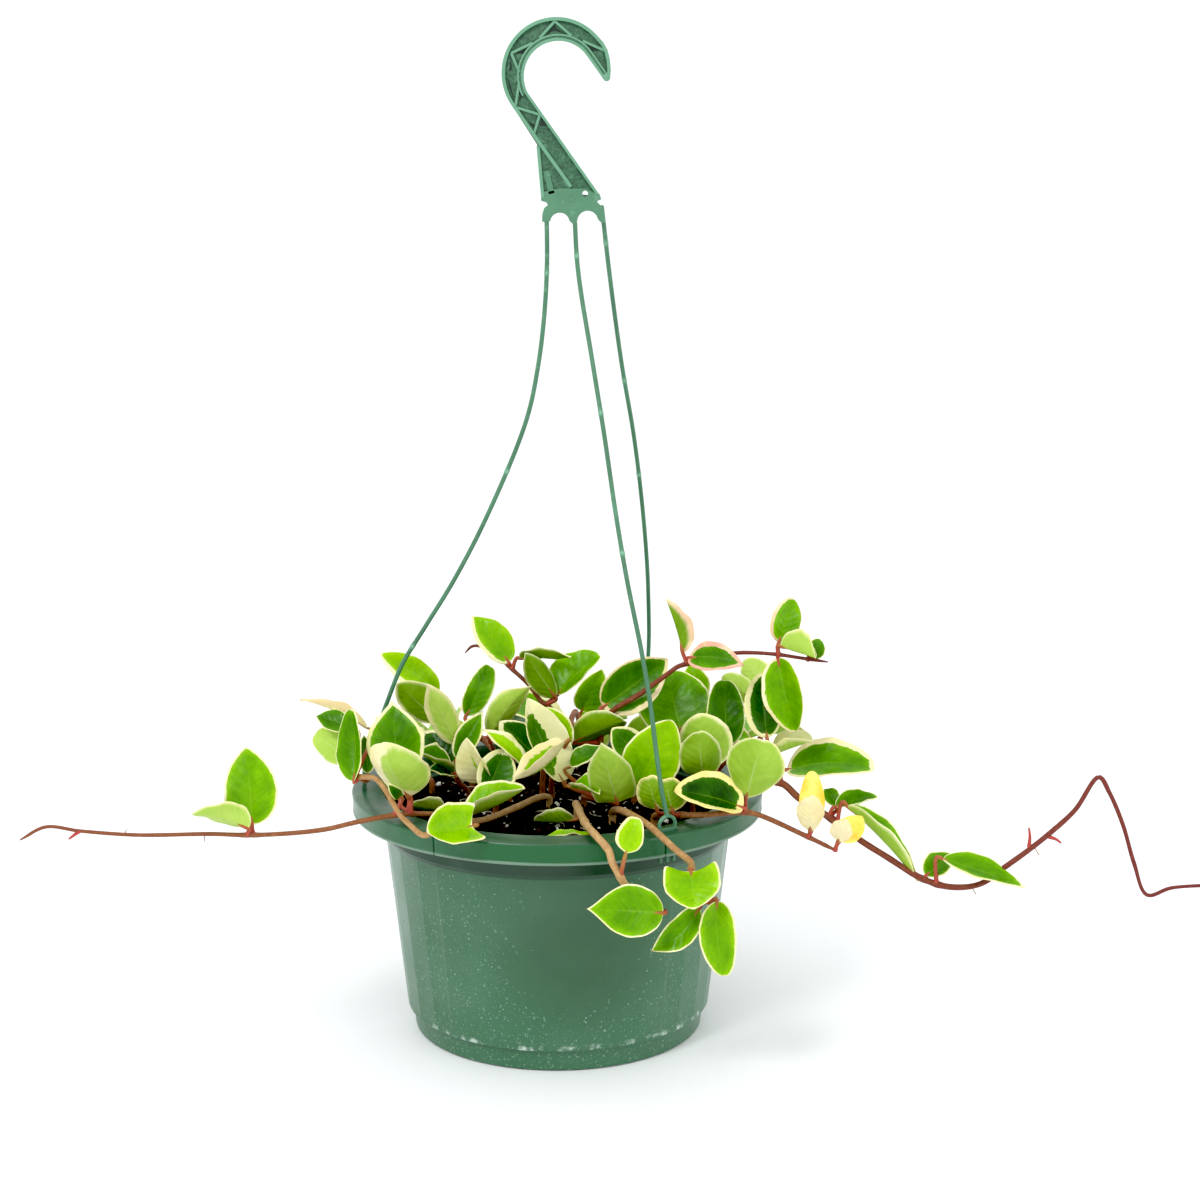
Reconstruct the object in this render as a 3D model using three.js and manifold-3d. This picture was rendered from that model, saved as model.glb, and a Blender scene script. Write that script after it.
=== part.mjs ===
// A tricolor hoya in an eight-inch hanging basket, standing on its base.
// Millimetres, +Z up, +X to the right and -Y towards the viewer.
// The origin is the middle of the basket's underside.

import * as THREE from 'three';
import { mergeVertices } from 'three/addons/utils/BufferGeometryUtils.js';
import Module from 'manifold-3d';

const wasm = await Module();
wasm.setup();

const TAU = 2 * Math.PI;
const DEGREE = Math.PI / 180;

// Basket
const POT_HEIGHT = 121;
const RIM_RADIUS = 101.5;
const FLANGE_WIDTH = 15;
const FLANGE_THICKNESS = 1.8;
const SKIRT_HEIGHT = 10.2;
const SKIRT_THICKNESS = 1.7;
const SKIRT_DRAFT = 0.8;
const WALL_TOP_RADIUS = 87.8;
const WALL_FOOT_RADIUS = 75.4;
const WALL_THICKNESS = 1.8;
const FOOT_RADIUS = 71.8;
const FOOT_HEIGHT = 10;
const FOOT_DRAFT = 0.6;
const FOOT_STEP = 1.2;
const FLOOR_THICKNESS = 2;
const POT_SEGMENTS = 64;
const FLUTE_TOP = 100.5;
const PLAIN_FRONT = 42 * DEGREE;
const DRAIN_HOLES = 6;
const DRAIN_RADIUS = 5;
const DRAIN_RING = 46;
const DRAIN_TURN = 0.2;
const DRAIN_SEGMENTS = 10;

// Potting mix
const SOIL_EDGE = 110;
const SOIL_CROWN = 112.5;
const SOIL_SEGMENTS = 20;
const HOLE_DEPTH = 11;
const HOLE_SIDES = 6;
const GAP = 0.35;

// Hanger
const CLIP_ANGLES = [33 * DEGREE, 153 * DEGREE, 273 * DEGREE];
const CLIP_RADIUS = 95.5;
const CLIP_RING = 4.5;
const CLIP_WIRE = 0.95;
const CLIP_RISE = 2.8;
const TONGUE_WIDTH = 9;
const TONGUE_THICKNESS = 1.6;
const PRONG_WIDTH = 1.6;
const PRONG_DROP = 4.5;
const SHOULDER_WIDTH = 11;
const SHOULDER_HEIGHT = 1.6;
const STRAND_RADIUS = 1.1;
const STRAND_STEPS = 10;
const HOOK_DEPTH = 5;
const OUTER_STEPS = 11;
const INNER_STEPS = 6;
const WEB_DEPTH = 1.8;
const BORDER_WIDTH = 1.7;
const BAND_WIDTH = 3;
const RIB_WIDTH = 1.3;
const RIB_DEPTH = 4.2;
const BAR_DEPTH = 3.2;
const BAR_SLOT = { x: -3.1, z: 415, width: 2.2, height: 12 };
const BAR_EYE = { x: 13.6, z: 409.4, radius: 1.4 };

// Leaves and stems
const BLADE_THICKNESS = 1.3;
const STALK_RADIUS = 1.1;
const STALK_TIP = 0.45;
const STALK_SUNK = 3;
const STALK_SIDES = 3;
const STEM_SIDES = 5;
const STALK_BEND = 0.25;
const STALK_LONGEST_BEND = 3;
const EDGE_WAVE = 0.5;
const PLAIN_FORM = { root: 0.56, point: 0.72, skew: 0.84, lobe: 0.02, lean: 0, sweep: 0 };
const LOBE_REACH = 0.4;
const BLADE_ROWS = [0, 0.1, 0.34, 0.64, 0.88, 1];
const SHORT_BLADE = 38;
const SHORT_BLADE_ROWS = [0, 0.14, 0.5, 0.84, 1];
const STEM_STEP = 18;
const ROOT_SHARES = [1, 0, -0.35];
const STALK_STARTS = [0.15, 0.3, 0.45, 0.6, 0.75, 0.9];

// The viewer's place, for what is set out as it is seen from the front.
// The picture plane stands square to the line of sight and passes near the basket's axis.
const EYE = new THREE.Vector3(21, -1126, 436);
const LOOK_DOWN = 11.14 * DEGREE;
const PICTURE_DISTANCE = 1175;
const PICTURE_LEFT = 21.5;
const PICTURE_FLOOR = 235.5;

// A place seen ACROSS mm right of the basket's axis and UP mm above the foot's front edge
// in the picture plane, and lying at depth BACK, in mm behind the basket's axis.
function seen(across, up, back) {
  const rise = up - PICTURE_FLOOR;
  const sight = new THREE.Vector3(
    across - PICTURE_LEFT,
    PICTURE_DISTANCE * Math.cos(LOOK_DOWN) + rise * Math.sin(LOOK_DOWN),
    rise * Math.cos(LOOK_DOWN) - PICTURE_DISTANCE * Math.sin(LOOK_DOWN),
  );
  return EYE.clone().addScaledVector(sight, (back - EYE.y) / sight.y);
}

// Solids from closed geometries, and back
function solidOf(geometry) {
  geometry.deleteAttribute('normal');
  geometry.deleteAttribute('uv');
  const merged = mergeVertices(geometry, 1e-4);
  const mesh = new wasm.Mesh({
    numProp: 3,
    vertProperties: new Float32Array(merged.attributes.position.array),
    triVerts: new Uint32Array(merged.index.array),
  });
  return new wasm.Manifold(mesh);
}

function geometryOf(solid) {
  const mesh = solid.getMesh();
  const geometry = new THREE.BufferGeometry();
  geometry.setAttribute('position', new THREE.BufferAttribute(mesh.vertProperties, 3));
  geometry.setIndex(new THREE.BufferAttribute(mesh.triVerts, 1));
  geometry.computeVertexNormals();
  return geometry;
}

function fuse(solids) {
  return solids.reduce((sum, solid) => sum.add(solid));
}

function meshOf(name, solid, material) {
  const mesh = new THREE.Mesh(geometryOf(solid), material);
  mesh.name = name;
  return mesh;
}

// Rings of points joined into one closed skin; a ring of one point closes an end
function skinOf(rings) {
  const positions = [];
  const starts = rings.map((ring) => {
    const start = positions.length / 3;
    ring.forEach((point) => positions.push(point.x, point.y, point.z));
    return start;
  });
  const index = [];
  const fan = (start, sides, flip) => {
    for (let side = 1; side < sides - 1; side += 1) {
      index.push(start, start + side + (flip ? 1 : 0), start + side + (flip ? 0 : 1));
    }
  };
  const sides = rings[0].length;
  for (let row = 0; row < rings.length - 1; row += 1) {
    for (let side = 0; side < sides; side += 1) {
      const a = starts[row] + side;
      const b = starts[row] + (side + 1) % sides;
      const c = starts[row + 1] + side;
      const d = starts[row + 1] + (side + 1) % sides;
      index.push(a, b, d, a, d, c);
    }
  }
  fan(starts[0], sides, true);
  fan(starts[rings.length - 1], sides, false);
  const geometry = new THREE.BufferGeometry();
  geometry.setAttribute('position', new THREE.Float32BufferAttribute(positions, 3));
  geometry.setIndex(index);
  return geometry;
}

// A round tube through the points that narrows from one end to the other
function taperedTube(points, firstRadius, lastRadius, sides) {
  let across = new THREE.Vector3(1, 3, 1);
  const rings = points.map((point, row) => {
    const before = points[Math.max(row - 1, 0)];
    const after = points[Math.min(row + 1, points.length - 1)];
    const along = after.clone().sub(before).normalize();
    across = across.clone().addScaledVector(along, -across.dot(along)).normalize();
    const other = along.clone().cross(across);
    const radius = THREE.MathUtils.lerp(firstRadius, lastRadius, row / (points.length - 1));
    return Array.from({ length: sides }, (blank, side) => {
      const angle = side * TAU / sides;
      return point.clone()
        .addScaledVector(across, radius * Math.cos(angle))
        .addScaledVector(other, radius * Math.sin(angle));
    });
  });
  return skinOf(rings);
}

// A round body on the Z axis, from a closed profile of [radius, height] pairs
function turned(profile, segments) {
  const points = profile.map(([radius, height]) => new THREE.Vector2(radius, height));
  return new THREE.LatheGeometry(points, segments).rotateX(Math.PI / 2);
}

// Basket

const WALL_FOOT_HEIGHT = FOOT_HEIGHT + FOOT_STEP;
const INNER_FOOT_RADIUS = FOOT_RADIUS - WALL_THICKNESS;

function wallRadius(height) {
  const share = (height - WALL_FOOT_HEIGHT) / (POT_HEIGHT - WALL_FOOT_HEIGHT);
  return THREE.MathUtils.lerp(WALL_FOOT_RADIUS, WALL_TOP_RADIUS, share);
}

function potProfile() {
  const skirtFoot = POT_HEIGHT - SKIRT_HEIGHT;
  const underFlange = POT_HEIGHT - FLANGE_THICKNESS;
  const inner = (height) => wallRadius(height) - WALL_THICKNESS;
  return [
    [0, 0],
    [FOOT_RADIUS, 0],
    [FOOT_RADIUS + FOOT_DRAFT, FOOT_HEIGHT],
    [WALL_FOOT_RADIUS, WALL_FOOT_HEIGHT],
    [wallRadius(FLUTE_TOP), FLUTE_TOP],
    [wallRadius(underFlange), underFlange],
    [RIM_RADIUS - SKIRT_THICKNESS, underFlange],
    [RIM_RADIUS - SKIRT_DRAFT - SKIRT_THICKNESS, skirtFoot],
    [RIM_RADIUS - SKIRT_DRAFT, skirtFoot],
    [RIM_RADIUS, POT_HEIGHT],
    [RIM_RADIUS - FLANGE_WIDTH, POT_HEIGHT],
    [inner(POT_HEIGHT - FLANGE_THICKNESS), POT_HEIGHT - FLANGE_THICKNESS],
    [inner(WALL_FOOT_HEIGHT) - FOOT_STEP, WALL_FOOT_HEIGHT],
    [INNER_FOOT_RADIUS - FOOT_DRAFT, FLOOR_THICKNESS],
    [0, FLOOR_THICKNESS],
  ];
}

// Every second edge of the wall is drawn in to a chord, away from the plain front
function flute(geometry) {
  const position = geometry.attributes.position;
  const pitch = TAU / POT_SEGMENTS;
  for (let item = 0; item < position.count; item += 1) {
    const x = position.getX(item);
    const y = position.getY(item);
    const height = position.getZ(item);
    const radius = Math.hypot(x, y);
    const onWall = height > FOOT_HEIGHT && height <= FLUTE_TOP && radius > wallRadius(height) - 0.5;
    const fromFront = Math.atan2(x, -y);
    const step = Math.round(fromFront / pitch);
    if (onWall && Math.abs(fromFront) > PLAIN_FRONT && Math.abs(step) % 2 === 1) {
      const drawn = Math.cos(pitch);
      position.setXY(item, x * drawn, y * drawn);
    }
  }
  return geometry;
}

function clipPlace(angle, radius, height) {
  return new THREE.Vector3(radius * Math.sin(angle), -radius * Math.cos(angle), height);
}

// A block that stands at a clip, its width along the rim
function clipBlock(angle, width, thickness, bottom, top) {
  const block = new THREE.BoxGeometry(width, thickness, top - bottom);
  block.rotateZ(angle);
  const middle = clipPlace(angle, CLIP_RADIUS, (top + bottom) / 2);
  return block.translate(middle.x, middle.y, middle.z);
}

function potSolid() {
  let pot = solidOf(flute(turned(potProfile(), POT_SEGMENTS)));
  for (let hole = 0; hole < DRAIN_HOLES; hole += 1) {
    const angle = hole * TAU / DRAIN_HOLES + DRAIN_TURN;
    const depth = 3 * FLOOR_THICKNESS;
    const drill = new THREE.CylinderGeometry(DRAIN_RADIUS, DRAIN_RADIUS, depth, DRAIN_SEGMENTS);
    drill.rotateX(Math.PI / 2);
    drill.translate(DRAIN_RING * Math.cos(angle), DRAIN_RING * Math.sin(angle), 0.5 * FLOOR_THICKNESS);
    pot = pot.subtract(solidOf(drill));
  }
  CLIP_ANGLES.forEach((angle) => {
    const slot = clipBlock(
      angle,
      TONGUE_WIDTH + 2 * GAP,
      TONGUE_THICKNESS + 2 * GAP,
      POT_HEIGHT - 3 * FLANGE_THICKNESS,
      POT_HEIGHT + FLANGE_THICKNESS,
    );
    pot = pot.subtract(solidOf(slot));
  });
  return pot;
}

// Potting mix

function soilSolid(holes) {
  const inside = (height) => wallRadius(height) - WALL_THICKNESS - GAP;
  const soil = turned([
    [0, FLOOR_THICKNESS + GAP],
    [INNER_FOOT_RADIUS - FOOT_DRAFT - GAP, FLOOR_THICKNESS + GAP],
    [inside(WALL_FOOT_HEIGHT) - FOOT_STEP, WALL_FOOT_HEIGHT + GAP],
    [inside(SOIL_EDGE) - GAP, SOIL_EDGE],
    [0.6 * RIM_RADIUS, 0.5 * (SOIL_EDGE + SOIL_CROWN)],
    [0, SOIL_CROWN],
  ], SOIL_SEGMENTS);
  return holes.reduce((sum, { x, y, radius }) => {
    const bottom = SOIL_CROWN - HOLE_DEPTH - GAP;
    const depth = 2 * HOLE_DEPTH;
    const hole = new THREE.CylinderGeometry(radius + 2 * GAP, radius + 2 * GAP, depth, HOLE_SIDES);
    hole.rotateX(Math.PI / 2);
    hole.translate(x, y, bottom + depth / 2);
    return sum.subtract(solidOf(hole));
  }, solidOf(soil));
}

// Hanger: a flat hook with a raised border and ribs, three strands and their clips, in one moulding

const HOOK_OUTER = { x: 0.7, z: 465.2, radius: 25.7, from: 42 * DEGREE, to: 218 * DEGREE };
const HOOK_INNER = { x: 1.6, z: 463.9, radius: 16.3, from: 211 * DEGREE, to: 33 * DEGREE };
const BORDER_SHORTENING = 2 * DEGREE;
const HOOK_TIP = [
  [22.5, 479.5], [24.5, 476], [25.7, 471.5], [26.1, 466.5], [25.7, 462.8], [24.2, 461.65], [22.85, 462.25],
];
const TIP_BORDER = [[24.4, 462.8], [25.25, 466.5], [24.87, 471.3], [23.75, 475.6], [21.9, 478.9]];
const BAND_END = [23.6, 464.8];
const PLATE_LEFT = [[-8.6, 432.6], [-6.5, 406.5]];
const PLATE_RIGHT = [20.7, 407.5];
const PLATE_BAR = [
  [-6, 400.5], [1.8, 401.4], [8.8, 401], [15.2, 402.6], [23.2, 402], [22.9, 408.5], [-7.6, 407.8],
];
const HOOK_RIBS = [
  [[-7.2, 481.2], [0, 489]],
  [[0, 489], [7.8, 482.2]],
  [[-10.4, 479.1], [-20.4, 474.5]],
  [[-20.4, 474.5], [-16.7, 465.7]],
  [[-16.7, 461.6], [-18.7, 449.6]],
  [[-18, 449.6], [-7.2, 446.4]],
  [[-7.2, 446.4], [-10, 437.7]],
  [[12.9, 480.1], [23.3, 475.6]],
  [[-10, 437.7], [7.8, 412.8]],
];
const STRAPS = [
  { top: [-4.3, 403], angle: CLIP_ANGLES[2] },
  { top: [8.8, 403], angle: CLIP_ANGLES[0] },
  { top: [21.8, 404], angle: CLIP_ANGLES[1] },
];
const STRAND_ROUTES = [
  [[-5, 403.5, 0], [-6.5, 376.5, 0], [-9.7, 351, 0], [-15.3, 325.5, -1], [-34.5, 278.5, -2],
    [-51.5, 245.5, -3], [-66, 222, -4], [-77.3, 203.5, -4], [-84, 187, -5], [-90, 170, -5]],
  [[10.5, 400.5, -3], [17.5, 356, -16], [23.7, 317.5, -28], [29.4, 278.5, -38], [35, 245.5, -48],
    [42.2, 210, -60], [46.5, 184.5, -68], [49.4, 161.5, -74], [52.4, 140, -79]],
  [[27, 392.5, 16], [32.5, 352.5, 34], [38.2, 319, 50], [42.2, 287, 64], [44.9, 255.5, 74],
    [45.7, 236, 79], [45.8, 211.5, 84]],
];

function arc(centre, steps) {
  return Array.from({ length: steps + 1 }, (blank, step) => {
    const angle = THREE.MathUtils.lerp(centre.from, centre.to, step / steps);
    return [centre.x + centre.radius * Math.cos(angle), centre.z + centre.radius * Math.sin(angle)];
  });
}

// A flat outline in the XZ plane, thickened evenly to both sides
function slab(outline, depth) {
  const shape = new THREE.Shape(outline.map(([x, z]) => new THREE.Vector2(x, z)));
  const geometry = new THREE.ExtrudeGeometry(shape, { depth, bevelEnabled: false });
  geometry.translate(0, 0, -depth / 2);
  return geometry.rotateX(Math.PI / 2);
}

// A strip of even width along a line of points
function strip(line, width, depth) {
  const side = (sign) => line.map(([x, z], item) => {
    const before = line[Math.max(item - 1, 0)];
    const after = line[Math.min(item + 1, line.length - 1)];
    const length = Math.hypot(after[0] - before[0], after[1] - before[1]);
    const reach = sign * width / 2 / length;
    return [x - reach * (after[1] - before[1]), z + reach * (after[0] - before[0])];
  });
  return slab([...side(1), ...side(-1).reverse()], depth);
}

function hookSolids() {
  const outerArc = arc(HOOK_OUTER, OUTER_STEPS);
  const innerArc = arc(HOOK_INNER, INNER_STEPS);
  const outline = [...outerArc, ...PLATE_LEFT, PLATE_RIGHT, ...innerArc, ...HOOK_TIP.toReversed()];
  const inset = BORDER_WIDTH / 2;
  const outerMiddle = { ...HOOK_OUTER, radius: HOOK_OUTER.radius - inset };
  outerMiddle.to -= BORDER_SHORTENING;
  const outerLine = [...TIP_BORDER, ...arc(outerMiddle, OUTER_STEPS)];
  const bandMiddle = { ...HOOK_INNER, radius: HOOK_INNER.radius + BAND_WIDTH / 2 };
  bandMiddle.from -= BORDER_SHORTENING;
  const bandLine = [...arc(bandMiddle, INNER_STEPS), BAND_END];
  const leftLine = [outerLine.at(-1), ...PLATE_LEFT.map(([x, z]) => [x + inset, z])];
  const rightLine = [[PLATE_RIGHT[0] - inset, PLATE_RIGHT[1]], bandLine[0]];
  const pieces = [slab(outline, WEB_DEPTH), strip(bandLine, BAND_WIDTH, HOOK_DEPTH)];
  [outerLine, leftLine, rightLine].forEach((line) => {
    pieces.push(strip(line, BORDER_WIDTH, HOOK_DEPTH));
  });
  HOOK_RIBS.forEach((line) => pieces.push(strip(line, RIB_WIDTH, RIB_DEPTH)));
  pieces.push(slab(PLATE_BAR, BAR_DEPTH));
  return pieces.map(solidOf);
}

function strandSolids({ top, angle }, route) {
  const ringHeight = POT_HEIGHT + CLIP_RISE;
  const ringTop = clipPlace(angle, CLIP_RADIUS, ringHeight + CLIP_RING);
  const start = new THREE.Vector3(top[0], 0, top[1]);
  const points = [start, ...route.map((place) => seen(...place)), ringTop];
  const curve = new THREE.CatmullRomCurve3(points);
  const section = new THREE.Shape();
  section.absarc(0, 0, STRAND_RADIUS, 0, TAU);
  const form = { steps: STRAND_STEPS, curveSegments: 3, extrudePath: curve };
  const strand = new THREE.ExtrudeGeometry(section, form);
  const ring = new THREE.TorusGeometry(CLIP_RING, CLIP_WIRE, 4, 9).rotateX(Math.PI / 2).rotateZ(angle);
  const middle = clipPlace(angle, CLIP_RADIUS, ringHeight);
  ring.translate(middle.x, middle.y, middle.z);
  const shoulderTop = POT_HEIGHT + SHOULDER_HEIGHT;
  const shoulder = clipBlock(angle, SHOULDER_WIDTH, TONGUE_THICKNESS, POT_HEIGHT + GAP, shoulderTop);
  const skirtFoot = POT_HEIGHT - SKIRT_HEIGHT;
  const tongue = clipBlock(angle, TONGUE_WIDTH, TONGUE_THICKNESS, skirtFoot - 1, shoulderTop);
  const prongs = [-1, 0, 1].map((side) => {
    const prong = new THREE.BoxGeometry(PRONG_WIDTH, TONGUE_THICKNESS, PRONG_DROP);
    prong.translate(side * (TONGUE_WIDTH - PRONG_WIDTH) / 2, 0, 0).rotateZ(angle);
    const place = clipPlace(angle, CLIP_RADIUS, skirtFoot - PRONG_DROP / 2);
    return prong.translate(place.x, place.y, place.z);
  });
  const loop = solidOf(ring).trimByPlane([0, 0, 1], POT_HEIGHT + GAP);
  return [loop, ...[strand, shoulder, tongue, ...prongs].map(solidOf)];
}

function hangerSolid() {
  let hanger = fuse(hookSolids());
  STRAPS.forEach((strap, item) => {
    hanger = hanger.add(fuse(strandSolids(strap, STRAND_ROUTES[item])));
  });
  const slot = new THREE.BoxGeometry(BAR_SLOT.width, 2 * HOOK_DEPTH, BAR_SLOT.height);
  slot.translate(BAR_SLOT.x, 0, BAR_SLOT.z);
  const eye = new THREE.CylinderGeometry(BAR_EYE.radius, BAR_EYE.radius, 2 * HOOK_DEPTH, 8);
  eye.translate(BAR_EYE.x, 0, BAR_EYE.z);
  return hanger.subtract(solidOf(slot)).subtract(solidOf(eye));
}

// Leaves

// Half the blade's width at a share of its length. The lower the root, the point and the skew,
// the fuller it is at its base, at its tip and near its base.
function halfWidth(leaf, share) {
  const power = THREE.MathUtils.lerp(leaf.root, leaf.point, share);
  return 0.5 * leaf.width * Math.sin(Math.PI * share ** leaf.skew) ** power;
}

// One leaf. The turn swings its top face from the viewer, in degrees about the line from base
// to tip. The cup folds both halves up, more on one side with lean. The bow arches the blade,
// sweep bends it sideways and lobe sets its base back, all as shares of its length.
// Its stalk starts at the place on the stem that is nearest to the joint.
function makeLeaf(base, tip, width, turn, cup, bow, form = {}) {
  const along = tip.clone().sub(base);
  const length = along.length();
  along.normalize();
  const facing = EYE.clone().sub(base).normalize();
  facing.addScaledVector(along, -facing.dot(along)).normalize();
  const beside = along.clone().cross(facing);
  const top = facing.multiplyScalar(Math.cos(turn * DEGREE));
  top.addScaledVector(beside, Math.sin(turn * DEGREE));
  const sideways = along.clone().cross(top);
  const place = { base, along, length, top, sideways, joint: form.joint ? seen(...form.joint) : base };
  return { ...PLAIN_FORM, ...form, ...place, width, cup: cup * DEGREE, bow };
}

function bladePoint(leaf, share, side, lift) {
  const half = halfWidth(leaf, share);
  const back = leaf.lobe * Math.abs(side) * Math.sin(Math.PI * Math.min(1, share / LOBE_REACH));
  const wave = EDGE_WAVE * side * side * Math.sin(1.5 * TAU * share + 2 * side);
  const middle = 4 * share * (1 - share) * leaf.length;
  const cup = leaf.cup * (1 + leaf.lean * side);
  const rise = Math.abs(side) * half * Math.sin(cup) + leaf.bow * middle;
  return leaf.base.clone()
    .addScaledVector(leaf.along, leaf.length * (share - back))
    .addScaledVector(leaf.sideways, side * half * Math.cos(cup) + leaf.sweep * middle)
    .addScaledVector(leaf.top, rise + wave + lift);
}

// The blade: a midrib and two edges, split alike on both faces
function bladeGeometry(leaf) {
  const lift = 0.5 * BLADE_THICKNESS / Math.cos(leaf.cup);
  const positions = [];
  const index = [];
  const shares = leaf.length < SHORT_BLADE ? SHORT_BLADE_ROWS : BLADE_ROWS;
  const last = shares.length - 1;
  const place = [];
  [lift, -lift].forEach((faceLift, face) => {
    place.push(shares.map((share, row) => {
      const sides = row === 0 || row === last ? [0] : [-1, 0, 1];
      return sides.map((side) => {
        const point = bladePoint(leaf, share, side, faceLift);
        positions.push(point.x, point.y, point.z);
        return positions.length / 3 - 1;
      });
    }));
    const rows = place[face];
    const triangle = (a, b, c) => index.push(...(face === 0 ? [a, b, c] : [a, c, b]));
    for (let half = 0; half < 2; half += 1) {
      triangle(rows[0][0], rows[1][half + 1], rows[1][half]);
      triangle(rows[last][0], rows[last - 1][half], rows[last - 1][half + 1]);
      for (let row = 1; row < last - 1; row += 1) {
        const [a, b] = rows[row].slice(half);
        const [c, d] = rows[row + 1].slice(half);
        triangle(a, b, d);
        triangle(a, d, c);
      }
    }
  });
  const edge = (rows) => [
    rows[0][0],
    ...rows.slice(1, last).map((row) => row[2]),
    rows[last][0],
    ...rows.slice(1, last).reverse().map((row) => row[0]),
  ];
  const [over, under] = place.map(edge);
  over.forEach((a, item) => {
    const b = over[(item + 1) % over.length];
    const c = under[item];
    const d = under[(item + 1) % over.length];
    index.push(a, c, d, a, d, b);
  });
  const geometry = new THREE.BufferGeometry();
  geometry.setAttribute('position', new THREE.Float32BufferAttribute(positions, 3));
  geometry.setIndex(index);
  return geometry;
}

// The stalk, sunk into the blade along its midrib
function stalkGeometry(leaf, stemPoints) {
  const nearest = stemPoints.reduce((best, point) => (
    point.distanceTo(leaf.joint) < best.distanceTo(leaf.joint) ? point : best));
  const reach = Math.min(STALK_BEND * nearest.distanceTo(leaf.base), STALK_LONGEST_BEND);
  const bend = leaf.base.clone().addScaledVector(leaf.along, -reach);
  const end = bladePoint(leaf, STALK_SUNK / leaf.length, 0, 0);
  const points = [nearest, bend, end];
  return taperedTube(points, STALK_RADIUS, STALK_TIP, STALK_SIDES);
}

// Vines

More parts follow.
